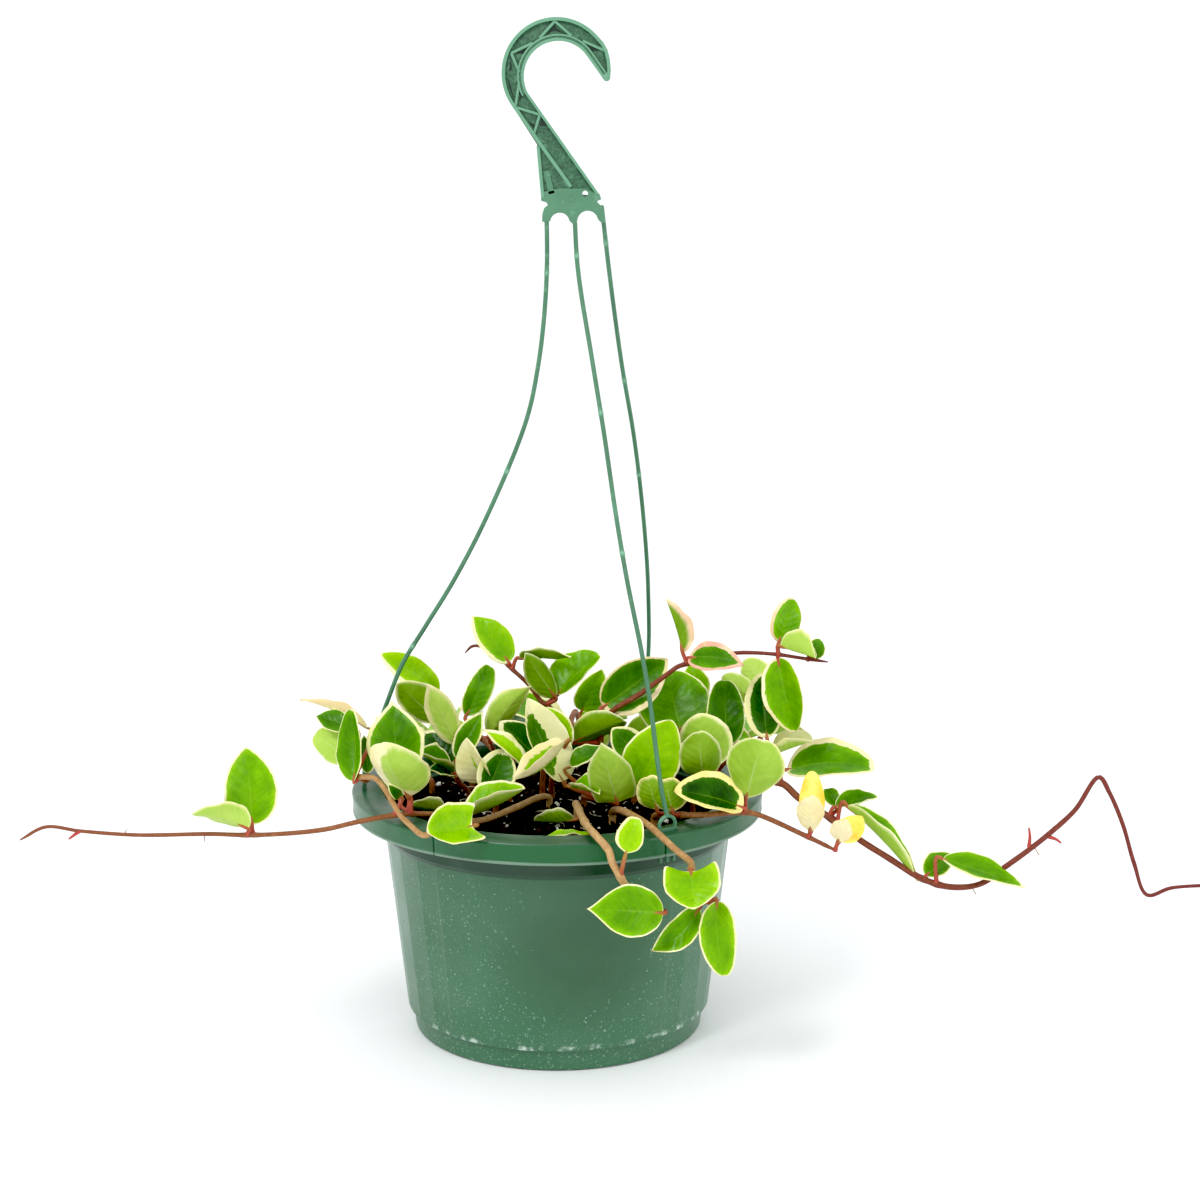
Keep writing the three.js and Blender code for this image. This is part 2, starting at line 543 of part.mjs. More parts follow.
// Each leaf: its base and its tip as [across, up, back] seen from the front,
// then width, turn, cup, bow and what its form has of its own.
const VINES = [
  {
    name: 'vine_left_runner',
    root: [-46, -34],
    radius: [1.35, 0.75],
    stem: [[-57, 128.5, -48], [-66, 128.5, -57], [-76, 128.5, -63], [-97.7, 125, -74],
      [-118, 120.5, -78], [-150.5, 118, -84], [-174, 118.5, -88], [-210, 118, -93], [-238.5, 120, -98],
      [-255.8, 122, -102], [-268.5, 115.5, -106]],
    leaves: [
      [-78.5, 136, -50, -82.5, 185.5, -38, 28.8, 0, 14, 0.05, { root: 0.8, point: 1.2, skew: 1.2 }],
      [-74.2, 137.5, -61, -88, 163.8, -82, 32, 143, 27, -0.05, { root: 0.55, point: 0.65 }],
      [-78.3, 137, -71, -84.6, 143.4, -88, 5.5, 0, 10, 0.05],
      [-152.5, 123, -80, -155.5, 162, -74, 26, 8, 14, 0.05],
      [-154.5, 121.5, -86, -182.5, 128.5, -100, 22, 118, 16, 0.08],
      [-56, 130, -40, -73.5, 133, -44, 16, 118, 10, 0.05],
    ],
  },
  {
    name: 'vine_left_loop',
    root: [-4, -8],
    radius: [1.75, 1.15],
    stem: [[-8, 137, -12], [-20, 132, -27], [-37, 125.5, -50], [-46, 124.8, -66], [-53, 124, -80],
      [-62, 119.5, -92], [-66.5, 117.8, -91], [-74, 123.5, -84], [-78.5, 128, -81], [-81.5, 133, -79],
      [-86.5, 141.5, -76], [-90.5, 146, -72], [-97.5, 147, -62], [-101, 147, -54]],
    leaves: [
      [-101.6, 145, -61, -102.7, 181, -48, 18, -36, 38, -0.07, { point: 0.5 }],
      [-95, 171.5, -26, -128.7, 185.7, -30, 9.5, 110, 42, 0.07, { point: 1.1 }],
      [-102.5, 171.5, -32, -120.5, 177.5, -26, 12, 20, 15, 0.05, { point: 0.9 }],
      [-103.5, 157, -32, -121, 168.5, -22, 16, 170, 10, -0.05, { point: 0.28 }],
      [-94.5, 149, -24, -96.6, 168, -20, 9, 10, 20, 0.05],
      [-46.5, 127.5, -58, -16, 141.5, -62, 25, -70, 45, -0.04],
      [-42.5, 122.5, -91, -65, 119.5, -102, 25, 25, 32, -0.05, { lobe: 0.28, root: 0.4, point: 0.5 }],
    ],
  },
  {
    name: 'vine_back_left',
    root: [-44, 30],
    radius: [1.5, 1.1],
    stem: [[-52, 158, 28], [-57, 172, 26], [-59, 180, 25], [-60, 187, 24]],
    leaves: [
      [-59, 189.5, 20, -88.5, 208.5, 14, 16.5, 20, 15, 0.05, { root: 0.75, point: 0.6 }],
      [-60, 175, 16, -80, 194, 6, 20, 165, 20, 0.04],
    ],
  },
  {
    name: 'vine_left_mid',
    root: [-44, 0],
    radius: [1.6, 1.1],
    stem: [[-50, 146.5, -8], [-48, 156, -10], [-46, 166, 0], [-44, 174, 8]],
    leaves: [
      [-49.5, 163, -12, -64.7, 193.5, -26, 15.5, 185, 20, 0.04, { point: 0.9 }],
      [-45.5, 177.5, 12, -33.5, 202.5, 24, 14, 10, 14, 0.05, { root: 0.7, point: 0.3 }],
      [-50, 156, -16, -37, 180, -8, 13.5, -10, 22, 0.03, { point: 1 }],
      [-52, 151.5, -14, -66, 170, -4, 20, 20, 25, 0.06],
      [-53, 149.5, -18, -70, 159, -32, 18, 70, 40, 0.04],
      [-52.5, 147.5, -20, -64, 150.5, -34, 10, 60, 20, 0.04],
    ],
  },
  {
    name: 'vine_top_left',
    root: [-8, 16],
    radius: [1.6, 0.7],
    stem: [[-6, 160, 16], [-4.2, 183, 18], [-7, 184, 18], [-14.5, 193.5, 21], [-22, 200.5, 24],
      [-32, 209, 36], [-38, 212.3, 40], [-42.6, 212.3, 42], [-46, 209, 43]],
    leaves: [
      [-24, 204, 25, -42.5, 227.5, 36, 19, 25, 15, 0.05, { point: 0.8 }],
      [-18.5, 206.5, 24, 7, 207, 14, 18, -107, 10, 0.03],
      [-1, 187, 16, -16, 209, 6, 14.5, 195, 20, 0.04, { point: 0.8 }],
      [0, 188, 20, 21.5, 208, 28, 26, -45, 30, 0.04, { point: 0.5 }],
    ],
  },
  {
    name: 'vine_centre_left_a',
    root: [-24, 6],
    radius: [1.5, 1.1],
    stem: [[-26, 146, 4], [-30, 156, 0], [-33, 164, -2]],
    leaves: [
      [-33.5, 166, -2, -13, 192.5, -16, 16, 200, 25, 0.05, { point: 1, sweep: 0.06 }],
      [-9.5, 156.5, -13, -28.8, 174.8, -10, 19, 5, 25, 0.04],
    ],
  },
  {
    name: 'vine_centre_left_b',
    root: [-3, 8],
    radius: [1.6, 1.2],
    stem: [[-3, 140, -4], [-2, 150, -14], [1, 158, -18]],
    leaves: [
      [3, 145, -34, -15, 186.5, -28, 27, 26, 40, -0.1],
      [4, 160, -20, -5, 182, -12, 18, -10, 14, 0.04],
      [-15.5, 152, -34, -37.5, 171, -30, 12, 40, 30, 0.06, { point: 0.9 }],
      [3.5, 164, -44, -21.3, 146, -60, 20, 60, 55, -0.12],
    ],
  },
  {
    name: 'vine_centre_left_c',
    root: [-30, -20],
    radius: [1.5, 1.1],
    stem: [[-34, 136, -26], [-36, 140, -34]],
    leaves: [
      [-36.5, 144.5, -34, -45.5, 166.5, -42, 19, -30, 30, 0.05],
      [-35.5, 138, -48, -26, 160, -34, 21, 10, 25, -0.04, { point: 0.5 }],
    ],
  },
  {
    name: 'vine_front_hanger_a',
    root: [10, -26],
    radius: [2, 1.6],
    stem: [[9.5, 133.5, -33], [12.5, 127, -58], [15.5, 122, -82], [20, 117.2, -100], [26, 110, -106.5],
      [27.5, 104.5, -107.5], [31.2, 97.8, -108], [35, 92, -108], [46, 82, -108], [54, 79.5, -109]],
    leaves: [
      [53, 79, -111, 14.5, 81, -119, 24.5, 5, 10, 0.05, { point: 1.3 }],
      [34.5, 109, -110, 39.5, 127, -107, 13.5, -5, 18, 0.06,
        { root: 0.9, point: 0.35, joint: [31.5, 97, -108] }],
      [9, 126, -46, -11.7, 125.5, -42, 15, 115, 25, -0.03],
      [16.5, 117.6, -70, -6.5, 116.8, -70, 12, 78, 10, 0.05],
    ],
  },
  {
    name: 'vine_front_hanger_b',
    root: [27, -34],
    radius: [1.8, 1.45],
    stem: [[31, 130.5, -46], [40, 126.5, -66], [46.5, 122.3, -84.5], [53, 116.5, -99], [60, 110, -103],
      [67, 104, -102], [67, 99.5, -101], [70, 86, -99], [76, 84, -100]],
    leaves: [
      [67, 99.5, -104, 69, 81, -119, 27, 0, 12, 0.08, { lobe: 0.3, root: 0.35, point: 0.63 }],
      [71, 81.5, -99, 47, 60, -104, 15, 10, 20, 0.05, { point: 0.9, sweep: -0.12 }],
      [80, 85, -102, 83.8, 47.5, -108, 18, -5, 18, 0.06, { point: 0.45, sweep: 0.05 }],
    ],
  },
  {
    name: 'vine_right_front',
    root: [47, -42],
    radius: [1.8, 1],
    stem: [[52, 128, -50], [60, 128, -57], [72, 128, -66], [92, 129.5, -62], [99.5, 128.5, -62],
      [124.5, 117.5, -68], [139, 110.5, -74]],
    leaves: [
      [94.5, 136.5, -62, 102.7, 165.5, -82, 28.5, 178, 14, -0.05, { root: 0.8, point: 0.45, skew: 1.2 }],
      [93, 131.5, -66, 58.5, 140, -66, 25, 38, 28, 0.06, { point: 0.5 }],
      [50, 131, -58, 45, 147, -62, 16, 175, 20, -0.05, { point: 0.35 }],
      [58, 130, -62, 54, 146, -62, 18, 170, 20, -0.05, { point: 0.35 }],
      [127.5, 122, -68, 127.5, 150, -60, 12.5, 0, 18, 0.05, { point: 0.45 }],
      [126.5, 120, -71, 127, 137.5, -84, 13.5, 180, 15, -0.06, { point: 0.6, skew: 1.2 }],
      [141.5, 115, -76, 153, 127, -70, 13, -10, 15, 0.06],
      [140.5, 115, -77, 144, 126, -86, 11, 180, 15, -0.06],
    ],
  },
  {
    name: 'vine_right_runner',
    root: [56, -6],
    radius: [2, 0.85],
    stem: [[70, 141.5, -8], [90, 145.5, -14], [112, 144, -20], [121, 136.5, -24], [137, 126.3, -30],
      [151.5, 115.5, -36], [165, 107, -42], [183, 96, -48], [197, 92, -52], [211.5, 93.5, -55],
      [224, 102, -57], [236.5, 111, -59], [246.5, 119, -60], [259, 130.5, -62], [271, 147, -63],
      [276.3, 139, -64], [283, 123, -66], [288.5, 104, -68], [295, 88, -71], [307, 91.5, -72],
      [327.5, 93, -75]],
    leaves: [
      [115, 150.5, -12, 158.9, 151.5, -22, 27, -42, 20, 0.1, { point: 0.45 }],
      [106.5, 157.5, -16, 128, 165, -24, 21, -75, 40, 0.04, { point: 0.45 }],
      [139.5, 132, -30, 160.3, 137, -24, 13, -50, 25, 0.05],
      [140, 133, -26, 134, 141, -18, 9, 10, 20, 0.05],
      [145, 132.5, -36, 180.5, 94.5, -46, 20, -80, 40, 0.04, { point: 0.9 }],
      [184.5, 97.5, -48, 197.6, 108.6, -40, 14, -20, 20, 0.05, { point: 0.9 }],
      [193, 106, -55, 234, 91.5, -62, 17, -48, 20, 0.05, { point: 1, sweep: 0.04 }],
    ],
  },
  {
    name: 'vine_top_right',
    root: [18, 10],
    radius: [1.8, 0.7],
    stem: [[20, 155, -2], [26, 178, -12], [41.5, 188.5, -15], [58, 200.5, -18], [60, 202, -18],
      [74, 206, -20], [89, 209, -22], [108, 208.5, -24], [122, 206.5, -26], [135.5, 204.5, -28]],
    leaves: [
      [23, 182, -8, 55.5, 206, -2, 27, 5, 25, 0.05, { point: 0.8 }],
      [12.5, 180, 4, 22.5, 201, -2, 16, 10, 15, 0.04],
      [9, 165, -10, 34, 175, -22, 20, -140, 25, 0.05, { point: 0.5 }],
      [63, 209, -18, 54.5, 236, -22, 15, 128, 50, 0.05, { point: 0.9 }],
      [66, 206.5, -20, 93.4, 203, -34, 15.5, -15, 16, 0.05, { point: 0.9, sweep: -0.05 }],
      [111, 214.5, -20, 117.5, 236.5, -12, 15, 8, 14, 0.05, { point: 0.5 }],
      [111.5, 212.5, -26, 129.5, 206.5, -34, 22, -108, 50, 0.03],
      [126, 206.5, -23, 131.8, 215.5, -19, 10, 15, 15, 0.05, { point: 0.4 }],
      [110.5, 206.5, -24, 119, 169.5, -32, 22, 18, 25, 0.05, { point: 0.5 }],
    ],
  },
  {
    name: 'vine_centre_right_a',
    root: [38, 2],
    radius: [1.7, 1.1],
    stem: [[39, 142, -14], [40, 152, -26], [50, 160, -20], [61, 168, -8], [70, 184, 8]],
    leaves: [
      [62.5, 168, -6, 54.5, 199.5, 12, 36, 0, 12, 0.05, { point: 0.45 }],
      [38.5, 140, -44, 57.5, 175.5, -44, 28, 5, 12, 0.05, { point: 0.6 }],
      [41.5, 157, -30, 27.5, 171.5, -26, 16, 5, 15, 0.04],
      [71.5, 185, 12, 66.5, 203.5, 18, 15, 0, 14, 0.05],
    ],
  },
  {
    name: 'vine_centre_right_b',
    root: [13, -6],
    radius: [1.6, 1.2],
    stem: [[14, 137, -14], [20, 136, -34], [28, 134.5, -46]],
    leaves: [
      [30, 134.5, -50, 22, 164, -66, 23, 175, 18, -0.04, { root: 0.4, point: 0.95, skew: 0.7, lobe: 0.15 }],
      [6.5, 152, -37, 25, 161, -35, 14, -50, 25, 0.04, { point: 0.8 }],
      [7.5, 142, -44, 21.5, 138.5, -56, 16, -60, 42, 0.04],
    ],
  },
  {
    name: 'vine_centre_right_c',
    root: [66, -28],
    radius: [1.5, 1.1],
    stem: [[68, 138, -32], [73, 146, -36]],
    leaves: [
      [72.8, 147, -46, 70.5, 169.5, -60, 21, 182, 12, -0.05, { point: 0.45 }],
      [79, 152, -36, 69, 178, -40, 27, 180, 12, -0.05, { point: 0.5 }],
    ],
  },
  {
    name: 'vine_centre_right_d',
    root: [76, 14],
    radius: [1.6, 1.1],
    stem: [[80, 150, 0], [88, 158, -12], [100, 164, -22], [103, 172, -12], [102, 184, 4]],
    leaves: [
      [105, 166.5, -28, 102, 199, -14, 20, -5, 24, 0.05, { point: 0.6 }],
      [84.5, 162.5, -14, 83.5, 195.4, -2, 19.5, 5, 14, 0.06, { point: 0.35 }],
      [104, 192, 4, 94, 206, 12, 16, 175, 12, -0.04, { point: 0.5 }],
      [97, 186, 2, 83, 198, 8, 14, 175, 14, -0.04, { point: 0.5 }],
    ],
  },
];

// The vines at the back follow a rule: leaves stand in pairs at each joint, and each pair
// is turned a quarter from the last. Routes are [x, y, z] in mm.
const BACK_VINES = [
  {
    name: 'vine_back_a', root: [-30, 52],
    route: [[-38, 66, 125], [-52, 86, 127], [-64, 106, 114], [-68, 112, 84]],
  },
  {
    name: 'vine_back_b', root: [4, 64],
    route: [[5, 82, 130], [8, 106, 132], [10, 122, 114], [9, 126, 86], [8, 121, 52]],
  },
  {
    name: 'vine_back_c', root: [52, 44],
    route: [[64, 56, 128], [80, 74, 132], [94, 90, 116], [97, 96, 86]],
  },
  { name: 'vine_back_d', root: [-64, 22], route: [[-74, 28, 122], [-92, 36, 125]] },
  { name: 'vine_back_e', root: [26, 26], route: [[28, 30, 134], [30, 30, 150], [40, 26, 158]] },
];
const FIRST_JOINT = 36;
const JOINT_PITCH = 46;
const OUTWARD_RISE = 90;
const BACK_STALK = 6;
const BACK_RADIUS = [1.7, 1];

let seed = 64;
function draw(from, to) {
  seed = (seed * 16807) % 2147483647;
  return from + (to - from) * seed / 2147483647;
}

function smoothRoute(points) {
  return new THREE.CatmullRomCurve3(points);
}

function rootPoints([x, y]) {
  return ROOT_SHARES.map((share) => new THREE.Vector3(x, y, SOIL_CROWN - share * HOLE_DEPTH));
}

// Places along the stem, each of the curve's own points among them but the one at the soil,
// for there the stem is straight
function stemPlaces(curve) {
  const last = curve.points.length - 1;
  const places = [];
  for (let item = 0; item < last; item += 1) {
    const apart = curve.points[item].distanceTo(curve.points[item + 1]);
    const steps = item === ROOT_SHARES.indexOf(0) ? 0 : Math.ceil(apart / STEM_STEP);
    for (let step = 0; step < steps; step += 1) {
      places.push(curve.getPoint((item + step / steps) / last));
    }
  }
  return [...places, curve.points[last]];
}

function vineSolid(curve, radius, leaves) {
  const coarse = stemPlaces(curve);
  const starts = coarse.slice(1).flatMap((end, item) => (
    STALK_STARTS.map((share) => coarse[item].clone().lerp(end, share))));
  const pieces = [solidOf(taperedTube(coarse, radius[0], radius[1], STEM_SIDES))];
  leaves.forEach((leaf) => {
    pieces.push(solidOf(stalkGeometry(leaf, starts)));
    pieces.push(solidOf(bladeGeometry(leaf)));
  });
  return fuse(pieces);
}

function seenVine(vine) {
  const points = [...rootPoints(vine.root), ...vine.stem.map((place) => seen(...place))];
  const leaves = vine.leaves.map((numbers) => {
    const [across, up, back, tipAcross, tipUp, tipBack, ...form] = numbers;
    return makeLeaf(seen(across, up, back), seen(tipAcross, tipUp, tipBack), ...form);
  });
  return vineSolid(smoothRoute(points), vine.radius, leaves);
}

function ruledVine(vine) {
  const points = [...rootPoints(vine.root), ...vine.route.map((place) => new THREE.Vector3(...place))];
  const curve = smoothRoute(points);
  const length = curve.getLength();
  const leaves = [];
  for (let joint = 0; FIRST_JOINT + joint * JOINT_PITCH < length; joint += 1) {
    const share = (FIRST_JOINT + joint * JOINT_PITCH) / length;
    const place = curve.getPointAt(share);
    const along = curve.getTangentAt(share);
    const outward = new THREE.Vector3(place.x, place.y, OUTWARD_RISE).normalize();
    outward.addScaledVector(along, -outward.dot(along)).normalize();
    const beside = along.clone().cross(outward);
    const wide = joint % 2 === 0;
    [1, -1].forEach((side) => {
      const away = beside.clone().multiplyScalar(side * (wide ? 1 : 0.6));
      away.addScaledVector(outward, wide ? 0.35 : 0.8).addScaledVector(along, 0.4).normalize();
      const base = place.clone().addScaledVector(away, BACK_STALK);
      const tip = base.clone().addScaledVector(away, draw(31, 40));
      tip.z -= 5;
      const leaf = makeLeaf(base, tip, draw(21, 26), 0, draw(10, 22), 0.06);
      leaf.top.copy(outward).addScaledVector(leaf.along, -outward.dot(leaf.along)).normalize();
      leaf.sideways.copy(leaf.along).cross(leaf.top);
      leaves.push(leaf);
    });
  }
  return vineSolid(curve, BACK_RADIUS, leaves);
}

// Colours

const basketPlastic = new THREE.MeshStandardMaterial({ color: 0x3d6f52, roughness: 0.55, metalness: 0 });
const hangerPlastic = new THREE.MeshStandardMaterial({ color: 0x4f8f6b, roughness: 0.5, metalness: 0 });
const pottingMix = new THREE.MeshStandardMaterial({ color: 0x1f1a15, roughness: 0.95, metalness: 0 });
const leafGreen = () => new THREE.MeshStandardMaterial({ color: 0x7fae2b, roughness: 0.4, metalness: 0 });

// The whole plant

const hoya = new THREE.Group();
hoya.name = 'potted_tricolor_hoya';
hoya.add(meshOf('pot', potSolid(), basketPlastic));
const holes = [
  ...VINES.map(({ root, radius }) => ({ x: root[0], y: root[1], radius: radius[0] })),
  ...BACK_VINES.map(({ root }) => ({ x: root[0], y: root[1], radius: BACK_RADIUS[0] })),
];
hoya.add(meshOf('potting_mix', soilSolid(holes), pottingMix));
hoya.add(meshOf('hanger', hangerSolid(), hangerPlastic));
VINES.forEach((vine) => hoya.add(meshOf(vine.name, seenVine(vine), leafGreen())));
BACK_VINES.forEach((vine) => hoya.add(meshOf(vine.name, ruledVine(vine), leafGreen())));

export default hoya;
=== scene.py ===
"""The looks of a tricolor hoya in a hanging basket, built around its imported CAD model.

Metres in the scene; the tables below are in millimetres in the same frame: +Z up, +X to the
right, -Y towards the viewer, the origin in the middle of the basket's underside.
"""

import math

import bmesh
import bpy
import numpy as np
from mathutils import Matrix, Vector, noise


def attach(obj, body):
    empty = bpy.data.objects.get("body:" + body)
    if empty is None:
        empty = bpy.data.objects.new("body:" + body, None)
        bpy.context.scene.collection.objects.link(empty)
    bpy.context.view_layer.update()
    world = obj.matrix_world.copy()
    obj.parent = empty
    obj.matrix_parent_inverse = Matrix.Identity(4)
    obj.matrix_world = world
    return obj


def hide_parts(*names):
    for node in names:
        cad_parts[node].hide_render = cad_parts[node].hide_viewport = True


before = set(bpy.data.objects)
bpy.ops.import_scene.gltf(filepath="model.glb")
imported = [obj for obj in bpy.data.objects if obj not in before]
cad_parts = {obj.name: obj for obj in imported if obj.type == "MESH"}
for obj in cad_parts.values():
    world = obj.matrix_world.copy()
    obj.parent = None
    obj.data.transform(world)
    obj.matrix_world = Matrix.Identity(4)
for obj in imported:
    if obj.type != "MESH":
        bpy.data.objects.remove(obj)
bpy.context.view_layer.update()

TAU = 2 * math.pi
MM = 0.001
END_ROUNDING = 0.6

# The viewer's place, in mm, and the camera.
EYE = np.array([21.0, -1126.0, 436.0])
LOOK_DOWN = math.radians(11.14)
PICTURE_DISTANCE = 1175.0
PICTURE_LEFT = 21.5
PICTURE_FLOOR = 235.5
LENS = 70.5
SENSOR = 36.0


def seen(across, up, back):
    """The place that is seen at (across, up) mm in the picture plane, at a depth of back mm."""
    rise = up - PICTURE_FLOOR
    sight = np.array([
        across - PICTURE_LEFT,
        PICTURE_DISTANCE * math.cos(LOOK_DOWN) + rise * math.sin(LOOK_DOWN),
        rise * math.cos(LOOK_DOWN) - PICTURE_DISTANCE * math.sin(LOOK_DOWN),
    ])
    return EYE + sight * (back - EYE[1]) / sight[1]


def unit(vector):
    return vector / np.linalg.norm(vector)


def smooth(low, high, value):
    share = np.clip((value - low) / (high - low), 0, 1)
    return share * share * (3 - 2 * share)


class Curve:
    """A centripetal Catmull-Rom curve through the points."""

    def __init__(self, points):
        self.points = [np.array(p, float) for p in points]

    def at(self, share):
        points = self.points
        last = len(points) - 1
        place = min(max(share, 0), 1) * last
        item = min(int(place), last - 1)
        t = place - item
        b, c = points[item], points[item + 1]
        a = points[item - 1] if item > 0 else 2 * points[0] - points[1]
        d = points[item + 2] if item + 2 <= last else 2 * points[last] - points[last - 1]
        gap = [max(float(((q - p) ** 2).sum()), 1e-12) ** 0.25 for p, q in ((a, b), (b, c), (c, d))]
        if gap[1] < 1e-4:
            gap[1] = 1.0
        gap = [gap[1] if g < 1e-4 else g for g in gap]
        lead = ((b - a) / gap[0] - (c - a) / (gap[0] + gap[1]) + (c - b) / gap[1]) * gap[1]
        tail = ((c - b) / gap[1] - (d - b) / (gap[1] + gap[2]) + (d - c) / gap[2]) * gap[1]
        cube = 2 * b - 2 * c + lead + tail
        square = -3 * b + 3 * c - 2 * lead - tail
        return ((cube * t + square) * t + lead) * t + b

    def table(self, steps=200):
        """Shares and the lengths that they lie at."""
        shares = np.linspace(0, 1, steps + 1)
        places = np.array([self.at(s) for s in shares])
        lengths = np.concatenate([[0], np.cumsum(np.linalg.norm(np.diff(places, axis=0), axis=1))])
        return shares, lengths

    def spaced(self, pitch):
        """Places a pitch apart along the whole curve, and its length."""
        shares, lengths = self.table()
        count = max(2, int(math.ceil(lengths[-1] / pitch)))
        wanted = np.linspace(0, lengths[-1], count + 1)
        return np.array([self.at(s) for s in np.interp(wanted, lengths, shares)]), lengths[-1]


class Body:
    """Gathers points in mm, faces and each point's traits, and makes one object of them."""

    TRAITS = ("place", "look", "extra")

    def __init__(self):
        self.points, self.faces, self.kinds = [], [], []
        self.traits = {name: [] for name in self.TRAITS}
        self.count = 0

    def add(self, points, faces, kind=0, **traits):
        points = np.asarray(points, float).reshape(-1, 3)
        self.points.append(points)
        start = self.count
        self.faces.extend([tuple(start + i for i in face) for face in faces])
        self.kinds.extend([kind] * len(faces))
        for name in self.TRAITS:
            given = np.asarray(traits.get(name, (0, 0, 0)), float)
            self.traits[name].append(np.broadcast_to(given, (len(points), 3)))
        self.count += len(points)

    def make(self, name, materials, node, crease=None):
        mesh = bpy.data.meshes.new(name)
        mesh.from_pydata((np.concatenate(self.points) * MM).tolist(), [], self.faces)
        for trait, parts in self.traits.items():
            data = mesh.attributes.new(trait, "FLOAT_VECTOR", "POINT")
            data.data.foreach_set("vector", np.concatenate(parts).astype(np.float32).ravel())
        for material in materials:
            mesh.materials.append(material)
        mesh.polygons.foreach_set("material_index", self.kinds)
        mesh.polygons.foreach_set("use_smooth", [True] * len(self.faces))
        mesh.update()
        if crease is not None:
            mesh.set_sharp_from_angle(angle=math.radians(crease))
        piece = bpy.data.objects.new(name, mesh)
        bpy.context.scene.collection.objects.link(piece)
        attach(piece, "root")
        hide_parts(node)


def traits_of(*columns):
    """Columns of numbers side by side; a single number fills its column."""
    return np.stack(np.broadcast_arrays(*columns), -1)


def tube(body, points, radii, sides, kind=0, traits=None):
    """A round tube with rounded ends. Traits is a function of shares along and around it."""
    points = np.asarray(points, float)
    radii = np.broadcast_to(np.asarray(radii, float), (len(points),))
    along = np.gradient(points, axis=0)
    along /= np.linalg.norm(along, axis=1)[:, None]
    across = np.array([1.0, 3.0, 1.0])
    rows = []
    angles = np.arange(sides) * TAU / sides
    for row, point in enumerate(points):
        across = unit(across - along[row] * across.dot(along[row]))
        other = np.cross(along[row], across)
        ring = np.outer(np.cos(angles), across) + np.outer(np.sin(angles), other)
        rows.append(point + radii[row] * ring)
    start = points[0] - along[0] * radii[0] * END_ROUNDING
    end = points[-1] + along[-1] * radii[-1] * END_ROUNDING
    skin = np.concatenate([*rows, [start], [end]])
    faces = []
    for row in range(len(points) - 1):
        for side in range(sides):
            a, b = row * sides + side, row * sides + (side + 1) % sides
            faces.append((a, b, b + sides, a + sides))
    first, last = len(skin) - 2, len(skin) - 1
    base = (len(points) - 1) * sides
    for side in range(sides):
        following = (side + 1) % sides
        faces.append((first, following, side))
        faces.append((last, base + side, base + following))
    share = np.concatenate([np.repeat(np.arange(len(points)) / (len(points) - 1), sides), [0, 1]])
    around = np.arange(len(share)) % sides / sides
    body.add(skin, faces, kind, **(traits(share, around) if traits else {}))


def turned(body, profile, angles, shape):
    """A closed (radius, height) profile turned round the Z axis; shape moves the grid's points."""
    profile = np.asarray(profile, float)
    count = len(profile)
    radius = np.repeat(profile[:, 0], len(angles)).reshape(count, -1)
    height = np.repeat(profile[:, 1], len(angles)).reshape(count, -1)
    turn = np.broadcast_to(angles, radius.shape)
    radius = shape(radius, height, turn)
    grid = np.stack([radius * np.sin(turn), -radius * np.cos(turn), height], -1)
    faces = []
    sides = len(angles)
    for row in range(count):
        below = (row + 1) % count
        for side in range(sides):
            after = (side + 1) % sides
            faces.append((row * sides + side, below * sides + side,
                          below * sides + after, row * sides + after))
    body.add(grid, faces)


class Wire:
    """A node's output; sums and products of wires make the Math nodes for them."""

    def __init__(self, paint, socket):
        self.paint, self.socket = paint, socket

    def __add__(self, other):
        return self.paint.math("ADD", self, other)

    def __radd__(self, other):
        return self.paint.math("ADD", other, self)

    def __sub__(self, other):
        return self.paint.math("SUBTRACT", self, other)

    def __rsub__(self, other):
        return self.paint.math("SUBTRACT", other, self)

    def __mul__(self, other):
        return self.paint.math("MULTIPLY", self, other)

    def __abs__(self):
        return self.paint.math("ABSOLUTE", self)


